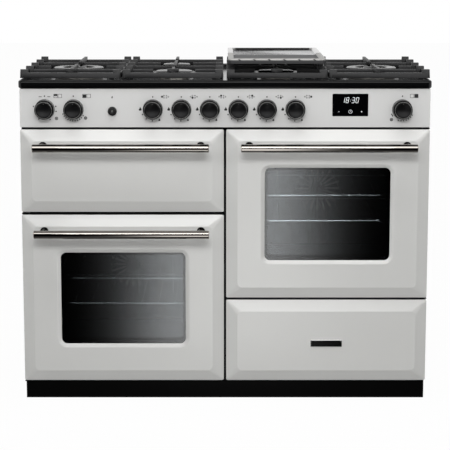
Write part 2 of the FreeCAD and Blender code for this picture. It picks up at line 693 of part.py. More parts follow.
def wire_grid(name, half, depth, corner, outer, inner, pitch, count, x, y, z):
    body = new_body(name)
    spine = new_sketch(body, name + "_spine", "XY_Plane")
    rounded(spine, (f"-({half})", half), ("0", depth), corner)
    section = new_sketch(body, name + "_section", "XZ_Plane", f"-({depth})/2")
    circle(section, half, "0", outer)
    frame = body.newObject("PartDesign::AdditivePipe", name + "_frame")
    frame.Profile = section
    frame.Spine = spine
    frame.Transition = "Round corner"
    cross = new_sketch(body, name + "_cross", "XZ_Plane")
    first = f"-{pitch}*({count} - 1)/2"
    circle(cross, first, "0", inner)
    wires = pad(body, cross, depth, True)
    line_up(body, wires, "X_Axis", count, f"{pitch}*({count} - 1)")
    return put(body, x, y, z)


trivet = wire_grid("trivet", "pan_half - trivet_inset", "pan_depth - 2*trivet_inset", "pan_corner",
                   "trivet_radius", "wire_radius", "trivet_pitch", 11, "-column_x",
                   "y_pan + trivet_inset",
                   "grill_arm_z - pan_height + pan_wall + pan_shelf_wall + trivet_stand")
legs = []
for tag, x in (("left", "-column_x - trivet_leg_side"), ("right", "-column_x + trivet_leg_side")):
    for end, y in (("front", "y_pan + trivet_leg_inset"), ("back", "y_pan + pan_depth - trivet_leg_inset")):
        legs.append(rod(f"trivet_{tag}_{end}_leg", "z",
                        (x, y, "grill_arm_z - pan_height + 2*pan_wall + pan_shelf_wall + fit_gap"),
                        "trivet_stand - pan_wall - fit_gap", "trivet_radius"))
keep(join("trivet_on_legs", [trivet] + legs), "grill_trivet")

# Storage drawer: plain pressed front and an open steel box
skin = front_skin("drawer_skin", "front_width", "drawer_height")
keep(place_front(skin, "front_x", "front_bottom + drawer_height/2"), "drawer_front")
box_half = "(column_width/2 - chamber_gap - rail_depth - drawer_side_gap)"
shell = block("drawer_shell", (f"column_x - {box_half}", f"column_x + {box_half}"),
              ("y_door_back", "y_inside + drawer_box_depth"),
              ("drawer_floor + drawer_box_lift/2", "drawer_floor + drawer_box_lift/2 + drawer_box_height"))
inside = block("drawer_inside",
               (f"column_x - {box_half} + sheet_wall", f"column_x + {box_half} - sheet_wall"),
               ("y_door_back + sheet_wall", "y_inside + drawer_box_depth - sheet_wall"),
               ("drawer_floor + drawer_box_lift/2 + sheet_wall",
                "drawer_floor + drawer_box_lift/2 + drawer_box_height + cut_over"))
cover = back_plate("drawer_plate", "front_x", "front_bottom", "drawer_top", "sheet_wall")
slides = []
for tag, toward in (("inner", -1), ("outer", 1)):
    near = f"column_x + ({toward})*{box_half}"
    far = f"column_x + ({toward})*(column_width/2 - chamber_gap - rail_thickness - fit_gap)"
    slides.append(block(f"drawer_{tag}_slide", (near, far) if toward > 0 else (far, near),
                        ("y_inside + fit_gap", "y_inside + drawer_box_depth"),
                        ("drawer_rail_z + rail_thickness + fit_gap",
                         "drawer_rail_z + rail_side_height - rail_thickness - fit_gap")))
keep(join("drawer", [cut("drawer_tub", shell, inside), cover] + slides), "drawer_box")


# Carcass sheets: each is a shallow tray, open on one side

def sheet_tray(name, x, y, z, wall, open_ends):
    # open_ends names each open end, such as "y low" for the front
    spans = {"x": list(x), "y": list(y), "z": list(z)}
    outer = block(name + "_outer", x, y, z)
    for axis, span in spans.items():
        span[0] += " - cut_over" if f"{axis} low" in open_ends else f" + ({wall})"
        span[1] += " + cut_over" if f"{axis} high" in open_ends else f" - ({wall})"
    inner = block(name + "_inner", spans["x"], spans["y"], spans["z"])
    return cut(name, outer, inner)


carcass_y = ("y_inside + fit_gap", "y_back_panel - back_wall - fit_gap")
carcass_z = ("base_bottom", "rail_bottom - fit_gap")
panels = [
    sheet_tray("left_side", ("-half_width", "-half_width + side_flange"), carcass_y, carcass_z,
               "sheet_wall", ("x high", "y low")),
    sheet_tray("right_side", ("half_width - side_flange", "half_width"), carcass_y, carcass_z,
               "sheet_wall", ("x low", "y low")),
]
keep(group("sides", panels), "side_panels")

# Base pan and hollow centre wall
pan_base = sheet_tray("base_pan", ("-side_inner + fit_gap", "side_inner - fit_gap"),
                      ("y_inside + fit_gap", "y_back_panel - back_wall - sheet_wall - 2*fit_gap"),
                      ("base_bottom + sheet_wall + fit_gap", "base_bottom + base_flange"),
                      "base_wall", ("z high",))
wall_y = ("y_inside + fit_gap", "y_back_panel - back_wall - fit_gap")
wall_z = ("base_bottom + base_wall + sheet_wall + fit_gap", "fascia_bottom")
centre = cut("centre_wall", block("centre_outer", ("-centre_width/2", "centre_width/2"), wall_y, wall_z),
             block("centre_inner", ("-centre_width/2 + sheet_wall", "centre_width/2 - sheet_wall"),
                   ("y_inside + fit_gap + sheet_wall", "y_back_panel + cut_over"),
                   (wall_z[0] + " + sheet_wall", wall_z[1] + " + cut_over")))
keep(join("base", [pan_base, centre]), "chassis")

back = new_body("back")
face = new_sketch(back, "back_face", "XZ_Plane")
rounded(face, ("-half_width + fit_gap", "half_width - fit_gap"), ("base_bottom", "rail_bottom - fit_gap"),
        "edge_corner")
pad(back, face, "back_wall")
bores = new_sketch(back, "back_bores", "XZ_Plane", "-cut_over")
circle(bores, "inlet_side", "knob_z", "inlet_hole")
pocket(back, bores, "back_wall + 2*cut_over", True)
collar = new_sketch(back, "gland_collar", "XZ_Plane")
circle(collar, "-gland_side", "gland_rise", "gland_radius + gland_wall")
pad(back, collar, "gland_depth", True)
bore = new_sketch(back, "gland_bore", "XZ_Plane", "-gland_depth - cut_over")
circle(bore, "-gland_side", "gland_rise", "gland_radius")
pocket(back, bore, "gland_depth + back_wall + 2*cut_over", True)
slot = new_sketch(back, "vent_slot", "XZ_Plane", "-cut_over")
rounded(slot, ("-slot_field - slot_length/2", "-slot_field + slot_length/2"),
        ("vent_rise - slot_height/2", "vent_rise + slot_height/2"), "slot_height/2 - fit_gap")
one = pocket(back, slot, "back_wall + 2*cut_over", True)
field = back.newObject("PartDesign::MultiTransform", "vent_field")
field.Originals = [one]
steps = []
for tag, role, count, length in (("across", "X_Axis", 3, "2*slot_field"),
                                 ("up", "Z_Axis", 5, "4*slot_pitch")):
    step = back.newObject("PartDesign::LinearPattern", "vent_" + tag)
    step.Direction = (axis_of(back, role), [""])
    step.Occurrences = count
    bind(step, Length=length)
    steps.append(step)
field.Transformations = steps
back.Tip = field
keep(put(back, "0", "y_back_panel", "0"), "back_panel")

# Front frame: one pressed plate with four mouths and the hinge plates that hold the pins
frame = new_body("frame")
face = new_sketch(frame, "frame_face", "XZ_Plane")
rounded(face, ("-half_width + fit_gap", "half_width - fit_gap"), ("base_bottom", "fascia_bottom - fit_gap"),
        "edge_corner")
pad(frame, face, "frame_wall", True)
for tag, x, z, corner in (
        ("left_mouth", ("-column_x - oven_width/2", "-column_x + oven_width/2"),
         ("left_oven_low", "left_oven_low + oven_height"), "oven_corner"),
        ("right_mouth", ("column_x - oven_width/2", "column_x + oven_width/2"),
         ("right_oven_low", "right_oven_low + oven_height"), "oven_corner"),
        ("grill_mouth", ("-column_outer + rail_line", "-column_inner - rail_line"),
         ("grill_floor", "grill_ceiling"), "edge_corner"),
        ("drawer_mouth", ("column_inner + rail_line", "column_outer - rail_line"),
         ("drawer_floor - drawer_sill/2", "drawer_top - drawer_sill/2"), "edge_corner")):
    mouth = new_sketch(frame, tag, "XZ_Plane", "cut_over")
    rounded(mouth, x, z, corner)
    pocket(frame, mouth, "frame_wall + 2*cut_over")
put(frame, "0", "y_frame", "0")
plates = []
for side, low in (("-", "front_bottom"), ("", "right_door_bottom")):
    for end, z in (("low", f"{low} - hinge_clearance - hinge_plate"),
                   ("high", f"{low} + door_height + hinge_clearance")):
        span = ("-half_width + fit_gap", "-half_width + fit_gap + hinge_plate_width")
        if not side:
            span = ("half_width - fit_gap - hinge_plate_width", "half_width - fit_gap")
        plates.append(block(f"hinge_plate_{end}{side}", span, ("y_front + hinge_clearance", "y_inside"),
                            (z, f"{z} + hinge_plate")))
sockets = [rod("hinge_socket" + side, "z", (f"{side}pin_x", "pin_y", "base_bottom - cut_over"),
               "fascia_bottom", "pin_radius + running_gap") for side in ("-", "")]
keep(cut("frame_with_sockets", join("frame_and_plates", [frame] + plates), join("sockets", sockets)),
     "front_frame")

# Plinth with side returns, and adjustable feet
plinth = sheet_tray("plinth_sheet", ("-half_width + plinth_inset_side", "half_width - plinth_inset_side"),
                    ("y_front + plinth_inset_front", "y_front + plinth_inset_front + plinth_return"),
                    ("plinth_lift", "plinth_height"), "sheet_wall", ("y high", "z low"))
keep(plinth, "plinth")

feet = []
for tag, x, y in (("front_left", "-foot_side", "-foot_front"), ("front_right", "foot_side", "-foot_front"),
                  ("back_left", "-foot_side", "foot_back"), ("back_right", "foot_side", "foot_back")):
    foot = new_body("foot_" + tag)
    profile = new_sketch(foot, "foot_profile_" + tag, "XZ_Plane")
    top = "base_bottom + sheet_wall + fit_gap"
    outline(profile, [
        ("0", "0"), ("foot_radius - foot_height/4", "0"), ("foot_radius", "foot_height/4"),
        ("foot_radius", "foot_height/2"), ("stem_radius + foot_height/2", "foot_height"),
        ("stem_radius", "foot_height"), ("stem_radius", f"{top} - nut_height"),
        ("nut_radius", f"{top} - nut_height"), ("nut_radius", top), ("0", top)])
    spin(foot, profile, "V_Axis")
    feet.append(put(foot, x, y, "0"))
keep(group("feet", feet), "levelling_feet")

# Control panel: folded sheet with knob bores, display cut-out and button hole
panel = new_body("panel")
face = new_sketch(panel, "panel_face", "XZ_Plane")
rounded(face, ("-half_width", "half_width"), ("fascia_bottom", "rail_bottom - fit_gap"), "panel_edge")
pad(panel, face, "panel_depth", True)
face = new_sketch(panel, "panel_inside", "XZ_Plane", "-sheet_wall")
rounded(face, ("-half_width + sheet_wall", "half_width - sheet_wall"),
        ("fascia_bottom + sheet_wall", "rail_bottom - fit_gap - sheet_wall"), "panel_edge - sheet_wall")
pocket(panel, face, "panel_depth + cut_over")
face = new_sketch(panel, "panel_display", "XZ_Plane", "cut_over")
rounded(face, ("display_left - fit_gap", "display_left + display_width + fit_gap"),
        ("fascia_bottom + display_rise - fit_gap",
         "fascia_bottom + display_rise + display_height + fit_gap"),
        "display_corner")
pocket(panel, face, "sheet_wall + 2*cut_over")
face = new_sketch(panel, "panel_bores", "XZ_Plane", "cut_over")
for x in ("-grill_knob_side", "-left_knob_side", "right_knob_side"):
    circle(face, x, "knob_z", "spindle_radius + spindle_clearance")
circle(face, "-button_side", "fascia_bottom + button_rise", "button_radius + fit_gap")
pocket(panel, face, "sheet_wall + 2*cut_over")
face = new_sketch(panel, "panel_gas_bore", "XZ_Plane", "cut_over")
circle(face, "-gas_knob_first", "knob_z", "spindle_radius + spindle_clearance")
one = pocket(panel, face, "sheet_wall + 2*cut_over")
line_up(panel, one, "X_Axis", 6, "5*gas_knob_pitch")
keep(put(panel, "0", "y_front", "0"), "control_panel")

glass = new_body("display")
face = new_sketch(glass, "display_face", "XZ_Plane", "display_proud")
rounded(face, ("display_left", "display_left + display_width"),
        ("fascia_bottom + display_rise", "fascia_bottom + display_rise + display_height"),
        "display_corner")
pad(glass, face, "display_wall", True)
face = new_sketch(glass, "display_module", "XZ_Plane", "display_proud - display_wall")
rounded(face, ("display_left + module_inset", "display_left + display_width - module_inset"),
        ("fascia_bottom + display_rise + module_inset",
         "fascia_bottom + display_rise + display_height - module_inset"), "display_corner")
pad(glass, face, "module_depth", True)
keep(put(glass, "0", "y_front", "0"), "display_panel")

# Turning knobs: a bevelled cap on a skirt, with the spindle that enters the tap or switch
knobs = [(f"gas_knob_{i + 1}", f"-gas_knob_first + {i}*gas_knob_pitch") for i in range(6)]
knobs += [("grill_knob", "-grill_knob_side"), ("left_oven_knob", "-left_knob_side"),
          ("right_oven_knob", "right_knob_side")]
for label, x in knobs:
    body = new_body(label)
    profile = new_sketch(body, label + "_profile", "YZ_Plane")
    outline(profile, [
        ("spindle_length", "0"), ("-knob_gap - knob_depth + knob_face_drop", "0"),
        ("-knob_gap - knob_depth + knob_face_drop", "knob_radius - knob_bevel - knob_rim"),
        ("-knob_gap - knob_depth", "knob_radius - knob_bevel - knob_rim/2"),
        ("-knob_gap - knob_depth", "knob_radius - knob_bevel"),
        ("-knob_gap - knob_depth + knob_bevel", "knob_radius"),
        ("-knob_gap - skirt_depth", "knob_radius"), ("-knob_gap", "skirt_radius"),
        ("-knob_gap", "spindle_radius"), ("spindle_length", "spindle_radius")])
    spin(body, profile, "H_Axis")
    keep(put(body, x, "y_front", "knob_z"), label)

button = new_body("button")
profile = new_sketch(button, "button_profile", "YZ_Plane")
outline(profile, [
    ("button_depth", "0"), ("-button_depth + knob_rim", "0"), ("-button_depth", "button_radius/2"),
    ("-button_depth", "button_radius - knob_rim"), ("-button_depth + knob_rim", "button_radius"),
    ("sheet_wall + fit_gap", "button_radius"), ("sheet_wall + fit_gap", "spindle_radius"),
    ("button_depth", "spindle_radius")])
spin(button, profile, "H_Axis")
keep(put(button, "-button_side", "y_front", "fascia_bottom + button_rise"), "igniter_button")

# Gas taps, oven switches and the ignition switch behind the panel
valves = []
for i in range(6):
    x = f"-gas_knob_first + {i}*gas_knob_pitch"
    tap = block(f"tap_{i + 1}", (f"{x} - tap_width/2", f"{x} + tap_width/2"), ("y_tap", "y_tap + tap_depth"),
                ("knob_z - tap_height/2", "knob_z + tap_height/2"))
    well = rod(f"tap_bore_{i + 1}", "y", (x, "y_tap - cut_over", "knob_z"),
               "cut_over + y_front + spindle_length + fit_gap - y_tap", "spindle_radius + running_gap")
    valves.append(cut(f"tap_body_{i + 1}", tap, well))
y_case = "y_panel_in + fit_gap"
for tag, x in (("grill", "-grill_knob_side"), ("left", "-left_knob_side"), ("right", "right_knob_side")):
    case = block(f"{tag}_switch", (f"{x} - switch_size/2", f"{x} + switch_size/2"),
                 (y_case, f"{y_case} + switch_depth"), ("knob_z - switch_size/2", "knob_z + switch_size/2"))
    well = rod(f"{tag}_switch_bore", "y", (x, f"{y_case} - cut_over", "knob_z"),
               f"cut_over + y_front + spindle_length + fit_gap - ({y_case})", "spindle_radius + running_gap")
    valves.append(cut(f"{tag}_switch_body", case, well))
button_z = "fascia_bottom + button_rise"
case = block("igniter_switch", ("-button_side - tap_height/2", "-button_side + tap_height/2"),
             (y_case, f"{y_case} + switch_depth"),
             (f"{button_z} - tap_height/2", f"{button_z} + tap_height/2"))
well = rod("igniter_bore", "y", ("-button_side", f"{y_case} - cut_over", button_z),
           f"cut_over + y_front + button_depth + button_travel + fit_gap - ({y_case})",
            "button_radius + fit_gap")
valves.append(cut("igniter_body", case, well))
keep(group("valves", valves), "control_valves")

# Gas rail, rear inlet and one pipe from each tap to its burner
BURNERS = (
    ("left", "-wide_burner_side", "hob_y", "wide_burner"),
    ("front_left", "-burner_side", "hob_y - burner_row", "front_burner"),
    ("back_left", "-burner_side", "hob_y + burner_row", "back_burner"),
    ("back_right", "burner_side", "hob_y + burner_row", "back_burner"),
    ("front_right", "burner_side", "hob_y - burner_row", "front_burner"),
    ("right", "wide_burner_side", "hob_y", "wide_burner"),
)


def worked_out(text):
    # Reads a formula of sums and signs over named sizes and places
    total = 0.0
    for sign, factor, name in re.findall(r"([-+]?)\s*(?:(\d+)\*)?([a-z_]+)", text):
        total += (-1 if sign == "-" else 1) * (int(factor) if factor else 1) * size(name)
    return total


y_gas, z_gas = size("y_manifold"), size("knob_z")
rail_start = (worked_out("-gas_knob_first - manifold_end"), y_gas, z_gas)
inlet_x = size("inlet_side")
rail_points = [rail_start, (inlet_x, y_gas, z_gas), (inlet_x, worked_out("y_back - inlet_nut_depth"), z_gas)]
rail = pipe(rail_points, size("manifold_radius") * 2, size("manifold_radius"))
axis = FreeCAD.Vector(0, 1, 0)
nut_y = worked_out("y_back - 2*inlet_nut_depth")
nut = Part.makeCylinder(size("inlet_nut_radius"), size("inlet_nut_depth"),
                        FreeCAD.Vector(inlet_x, nut_y, z_gas), axis)
stub = Part.makeCylinder(size("inlet_radius"), size("inlet_nut_depth"),
                         FreeCAD.Vector(inlet_x, worked_out("y_back - inlet_nut_depth"), z_gas), axis)
feeds = [rail.fuse([nut, stub])]
y_outlet = worked_out("y_tap + tap_depth - pipe_radius - pipe_radius")
for i, (tag, x, y, radius) in enumerate(BURNERS):
    tap_x = worked_out(f"-gas_knob_first + {i}*gas_knob_pitch") if i else -size("gas_knob_first")
    burner = (worked_out(x), worked_out(y))
    z_low, z_run, z_high = worked_out("knob_z") + size("tap_height") / 2, size("pipe_z"), size("cup_bottom")
    points = [(tap_x, y_outlet, z_low), (tap_x, y_outlet, z_run), (*burner, z_run), (*burner, z_high)]
    feeds.append(pipe(points, size("pipe_bend"), size("pipe_radius")))
keep(shape_object("gas_pipes", Part.makeCompound(feeds)), "gas_pipework")

# Grill chamber: an enamelled box open at the front
keep(sheet_tray("chamber", ("-column_outer", "-column_inner"),
                ("y_inside + fit_gap", "y_inside + chamber_depth"),
                ("grill_floor - sheet_wall - fit_gap", "grill_ceiling + sheet_wall + fit_gap"),
                "chamber_gap - fit_gap", ("y low",)), "grill_chamber")

# Oven liners: deep rounded boxes with a flange round the mouth and a shaft bore in the back
OVENS = (("left", "-column_x", "left_oven_low"), ("right", "column_x", "right_oven_low"))
for label, x, low in OVENS:
    liner = new_body(label + "_oven")
    half = "oven_width/2"
    for tag, offset, grow, corner, depth, step in (
            ("shell", "0", "oven_wall", "oven_corner + oven_wall", "oven_depth + oven_wall", "pad"),
            ("flange", "0", "mouth_flange", "oven_corner + mouth_flange", "oven_wall", "pad"),
            ("hollow", "cut_over", "0", "oven_corner", "oven_depth + cut_over", "pocket")):
        face = new_sketch(liner, f"{label}_oven_{tag}", "XZ_Plane", offset)
        rounded(face, (f"-{half} - {grow}", f"{half} + {grow}"),
                (f"-oven_height/2 - {grow}", f"oven_height/2 + {grow}"), corner)
        if step == "pad":
            pad(liner, face, depth, True)
        else:
            pocket(liner, face, depth)
    hole = new_sketch(liner, label + "_shaft_hole", "XZ_Plane", "-oven_depth + cut_over")
    circle(hole, "0", "0", "shaft_radius + spindle_clearance")
    pocket(liner, hole, "oven_wall + 2*cut_over")
    keep(put(liner, x, "y_inside + fit_gap", f"{low} + oven_height/2"), label + "_oven_liner")

# Seals on the frame round each oven mouth
seals = []
for label, x, low in OVENS:
    seal = new_body(label + "_seal")
    for tag, grow, step in (("outer", "seal_width + seal_inset", "pad"), ("inner", "seal_inset", "pocket")):
        offset = "0" if step == "pad" else "seal_depth + cut_over"
        face = new_sketch(seal, f"{label}_seal_{tag}", "XZ_Plane", offset)
        rounded(face, (f"-oven_width/2 - {grow}", f"oven_width/2 + {grow}"),
                (f"-oven_height/2 - {grow}", f"oven_height/2 + {grow}"), f"oven_corner + {grow}")
        if step == "pad":
            pad(seal, face, "seal_depth")
        else:
            pocket(seal, face, "seal_depth + 2*cut_over")
    seals.append(put(seal, x, "y_frame", f"{low} + oven_height/2"))
keep(group("seals", seals), "oven_seals")

# Shelf ladders: two uprights on the liner wall and bent rungs that carry the shelves
ladders = []
for label, x, low in OVENS:
    for side in ("-", "+"):
        wall = f"{x} {side} oven_half"
        post_x = f"{x} {side} ladder_line"
        y_low, y_high = "y_inside + ladder_setback", "y_inside + ladder_setback + ladder_length"
        posts = [rod(f"{label}_ladder_{tag}{'l' if side == '-' else 'r'}", "z",
                     (post_x, y, f"{low} + ladder_foot"), "ladder_height", "ladder_radius")
                 for tag, y in (("front", y_low), ("back", y_high))]
        rungs = []
        for level_number in (1, 2, 3, 4):
            at_x = worked_out(post_x)
            in_x = at_x - math.copysign(size("rung_reach"), worked_out(f"{side}rung_reach"))
            z = worked_out(low) + level_number * size("rung_pitch")
            start, end = worked_out(y_low), worked_out(y_high)
            points = [(at_x, start, z), (in_x, start, z), (in_x, end, z), (at_x, end, z)]
            rungs.append(shape_object(f"{label}_rung_{level_number}",
                                      pipe(points, size("rung_bend"), size("rung_radius"))))
        ladders.append(join(f"{label}_ladder{'_l' if side == '-' else '_r'}", posts + rungs))
keep(group("ladders", ladders), "oven_ladders")

# Two wire shelves in each oven, resting on the second and third rungs
shelves = []
for label, x, low in OVENS:
    for step in (2, 3):
        z = f"{low} + {step}*rung_pitch + rung_radius + shelf_radius + fit_gap"
        shelves.append(wire_grid(f"{label}_shelf_{step}", "ladder_line - rung_reach + shelf_overlap",
                                 "shelf_depth", "shelf_corner", "shelf_radius", "wire_radius",
                                 "wire_pitch", 9, x, "y_inside + shelf_setback", z))
keep(group("shelves", shelves), "oven_shelves")

# Convection fans: a back disc with bent blades, running on a shaft through the liner
motors = []
covers = []
heaters = []
for label, x, low in OVENS:
    centre_z = f"{low} + fan_rise"
    fan = new_body(label + "_fan")
    disc = new_sketch(fan, label + "_fan_disc", "XZ_Plane")
    circle(disc, "0", "0", "fan_radius")
    pad(fan, disc, "fan_wall")
    hub = new_sketch(fan, label + "_fan_hub", "XZ_Plane")
    circle(hub, "0", "0", "fan_hub")
    pad(fan, hub, "fan_depth")
    blade = new_sketch(fan, label + "_fan_blade", "XZ_Plane")
    outline(blade, [("fan_radius - blade_length", "0"), ("fan_radius - fan_wall", "blade_length/3"),
                    ("fan_radius - fan_wall", "blade_length/3 + fan_wall"),
                    ("fan_radius - blade_length", "fan_wall")])
    first = pad(fan, blade, "fan_depth")
    ring(fan, first, "Y_Axis", 10)
    shaft = new_sketch(fan, label + "_fan_shaft", "XZ_Plane")
    circle(shaft, "0", "0", "shaft_radius")
    pad(fan, shaft, "shaft_length", True)
    keep(put(fan, x, "y_fan", centre_z), label + "_oven_fan")

    motor = new_body(label + "_motor")
    plate = new_sketch(motor, label + "_motor_plate", "XZ_Plane")
    rounded(plate, ("-motor_plate/2", "motor_plate/2"), ("-motor_plate/2", "motor_plate/2"),
            "cover_corner/2")
    pad(motor, plate, "oven_wall", True)
    drum = new_sketch(motor, label + "_motor_drum", "XZ_Plane")
    circle(drum, "0", "0", "motor_radius")
    pad(motor, drum, "motor_depth", True)
    bore = new_sketch(motor, label + "_motor_bore", "XZ_Plane", "cut_over")
    circle(bore, "0", "0", "shaft_radius + running_gap")
    pocket(motor, bore, "cut_over + motor_bore")
    motors.append(put(motor, x, "y_oven_back + oven_wall + 2*fit_gap", centre_z))

    cover = new_body(label + "_cover")
    for tag, offset, inset, depth, step in (
            ("skin", "0", "0", "cover_stand", "pad"),
            ("hollow", "-sheet_wall", "sheet_wall", "cover_stand", "pocket")):
        face = new_sketch(cover, f"{label}_cover_{tag}", "XZ_Plane", offset)
        rounded(face, (f"-cover_size/2 + {inset}", f"cover_size/2 - {inset}"),
                (f"-cover_size/2 + {inset}", f"cover_size/2 - {inset}"), f"cover_corner - {inset}")
        if step == "pad":
            pad(cover, face, depth, True)
        else:
            pocket(cover, face, depth)
    slot = new_sketch(cover, label + "_cover_slot", "XZ_Plane", "cut_over")
    outline(slot, [("cover_slot_inner", "-cover_slot_width/4"), ("cover_slot_outer", "-cover_slot_width/2"),
                   ("cover_slot_outer", "cover_slot_width/2"), ("cover_slot_inner", "cover_slot_width/4")])
    first = pocket(cover, slot, "sheet_wall + 2*cut_over")
    ring(cover, first, "Y_Axis", 20)
    covers.append(put(cover, x, "y_cover", centre_z))

    spot = FreeCAD.Vector(worked_out(x), size("y_fan") - size("fan_depth") / 2,
                          worked_out(low) + size("fan_rise"))
    path = ring_with_tails(spot, size("ring_element_radius"), size("element_tail"), size("element_elbow"),
                           size("y_oven_back") - spot.y)
    heaters.append(sweep(path, size("element_radius")))
keep(group("motors", motors), "fan_motors")
keep(group("covers", covers), "fan_covers")

# Grill element: six runs from side to side under the chamber's roof
z = size("grill_ceiling") - size("grill_element_drop")
x_mid, half = -size("column_x"), size("grill_element_width") / 2
runs = 6
y_first = size("y_inside") + size("grill_element_setback")
points = []
for i in range(runs):
    y = y_first + size("grill_element_depth") * i / (runs - 1)
    sides = (x_mid - half, x_mid + half) if i % 2 == 0 else (x_mid + half, x_mid - half)
    points += [(sides[0], y, z), (sides[1], y, z)]
points.append((points[-1][0], size("y_inside") + size("chamber_depth") - size("chamber_gap"), z))
heaters.append(pipe(points, size("grill_element_bend"), size("element_radius")))
keep(shape_object("heaters", Part.makeCompound(heaters)), "heating_elements")

# Hob: a rounded black rim with rear vents round a pressed tray
rim = new_body("rim")
face = new_sketch(rim, "rim_face", "XY_Plane")
rounded(face, ("-half_width - rail_overhang", "half_width + rail_overhang"),
        ("y_front - rail_nose", "y_back"), "rail_corner")
pad(rim, face, "rail_height")
dress(rim, "Fillet", "rim_edge", "rail_edge",
      lambda edge: level(edge, "Z", size("rail_height")) or level(edge, "Z", 0))
face = new_sketch(rim, "rim_opening", "XY_Plane", "rail_height + cut_over")
rounded(face, ("-half_width - rail_overhang + trim_side", "half_width + rail_overhang - trim_side"),
        ("y_front - rail_nose + trim_front", "y_back - trim_back"), "trim_inner_corner")
pocket(rim, face, "rail_height + 2*cut_over")
face = new_sketch(rim, "rim_hollow", "XY_Plane", "-cut_over")
rounded(face, ("-half_width - rail_overhang + trim_skirt", "half_width + rail_overhang - trim_skirt"),
        ("y_front - rail_nose + rail_edge + trim_skirt", "y_back - trim_skirt"), "rail_corner - trim_skirt")
pocket(rim, face, "rail_height - trim_top + cut_over", True)
face = new_sketch(rim, "rim_vent", "XY_Plane", "rail_height + cut_over")
rounded(face, ("-3*vent_slot_pitch - vent_slot_length/2", "-3*vent_slot_pitch + vent_slot_length/2"),
        ("y_back - trim_back/2 - vent_slot_width/2", "y_back - trim_back/2 + vent_slot_width/2"),
        "vent_slot_width/2 - fit_gap")
one = pocket(rim, face, "trim_top + 2*cut_over")
line_up(rim, one, "X_Axis", 7, "6*vent_slot_pitch")
keep(put(rim, "0", "0", "rail_bottom"), "hob_trim")

tray = new_body("hob")
for tag, offset, inset, corner, depth, step in (
        ("hob_sheet", "-tray_wall", "0", "tray_corner", "tray_wall + tray_lip", "pad"),
        ("hob_recess", "0", "tray_wall", "tray_corner - tray_wall", "tray_lip + cut_over", "pocket")):
    face = new_sketch(tray, tag, "XY_Plane", offset)
    rounded(face, (f"-half_width - rail_overhang + trim_side + fit_gap + {inset}",
                   f"half_width + rail_overhang - trim_side - fit_gap - {inset}"),
            (f"y_front - rail_nose + trim_front + fit_gap + {inset}",
             f"y_back - trim_back - fit_gap - {inset}"), corner)
    if step == "pad":
        pad(tray, face, depth)
    else:
        pocket(tray, face, depth, True)
face = new_sketch(tray, "hob_bores", "XY_Plane", "cut_over")
for label, x, y, radius in BURNERS:
    circle(face, x, y, "cup_radius + fit_gap")
pocket(tray, face, "tray_wall + 2*cut_over")
keep(put(tray, "0", "0", "hob_floor"), "hob_tray")

# Burners: an injector cup under the tray, a ported head above it and a loose cap
bases = []
caps = []
probes = []
PORTS = {"wide_burner": 36, "front_burner": 28, "back_burner": 20}
INNER_PORTS = 14


def ports(base, label, radius, crown, count):
    port = new_sketch(base, "burner_port_" + label, "XY_Plane", f"{crown} + cut_over")
    deep = f"{radius} - port_depth"
    clear = f"{radius} + head_chamfer"
    outline(port, [(deep, "-port_width/2"), (clear, "-port_width/2"), (clear, "port_width/2"),
                   (deep, "port_width/2")])
    first = pocket(base, port, "port_drop + cut_over")
    ring(base, first, "Z_Axis", count)


def burner_cap(label, x, y, z, radius, hole):
    # A cap with a domed top; hole is the radius of its middle, or nothing for a closed one
    cap = new_body("cap_" + label)
    profile = new_sketch(cap, "cap_profile_" + label, "XZ_Plane")
    edge = [(f"{radius} + cap_overhang - cap_edge", "0"), (f"{radius} + cap_overhang", "cap_edge/2"),
            (f"{radius} + cap_overhang", "cap_height - cap_edge"),
            (f"{radius} + cap_overhang - cap_edge", "cap_height")]
    if hole:
        edge = [(hole, "0")] + edge + [(f"{hole} + cap_edge", "cap_height"), (hole, "cap_height - cap_edge")]
    else:
        edge = [("0", "0")] + edge + [("0", "cap_height + cap_edge/2")]
    outline(profile, edge)
    spin(cap, profile, "V_Axis")
    return put(cap, x, y, z)


for label, x, y, radius in BURNERS:
    wide = radius == "wide_burner"
    base = new_body("burner_" + label)
    profile = new_sketch(base, "burner_profile_" + label, "XZ_Plane")
    crown = "burner_foot + head_height"
    ring_inside = f"{radius} - head_chamfer/2 - ring_crown"
    middle = [("inner_crown + head_chamfer", "burner_foot"), ("inner_crown", crown)]
    outline(profile, [
        ("0", "-tray_wall - cup_depth"), ("cup_radius", "-tray_wall - cup_depth"), ("cup_radius", "0"),
        (f"{radius} - moat_width", "0"), (f"{radius} - moat_width", "burner_foot"),
        (f"{radius} - head_chamfer", "burner_foot"), (radius, "burner_foot + head_chamfer"),
        (f"{radius} - head_chamfer/2", crown)]
        + ([(ring_inside, crown), (ring_inside, "burner_foot")] + middle if wide else []) + [("0", crown)])
    spin(base, profile, "V_Axis")
    ports(base, label, radius, crown, PORTS[radius])
    if wide:
        ports(base, label + "_inner", "inner_crown", crown, INNER_PORTS)
    bases.append(put(base, x, y, "hob_floor"))
    cap_z = f"hob_floor + {crown}"
    caps.append(burner_cap(label, x, y, cap_z, radius, f"{ring_inside} - cap_overhang" if wide else None))
    if wide:
        caps.append(burner_cap(label + "_inner", x, y, cap_z, "inner_crown", None))

    for turn in ("-", "+"):
        reach = f"({radius} + probe_gap + probe_radius)"
        spot = (f"{x} {turn} {reach}*sin(probe_angle*1 deg)", f"{y} + {reach}*cos(probe_angle*1 deg)",
                "hob_floor")
        side = "left" if turn == "-" else "right"
        probes.append(rod(f"probe_{label}_{side}", "z", spot, "probe_height", "probe_radius"))
keep(group("burners", bases), "burner_bodies")
keep(group("caps", caps), "burner_caps")
keep(group("probes", probes), "burner_probes")

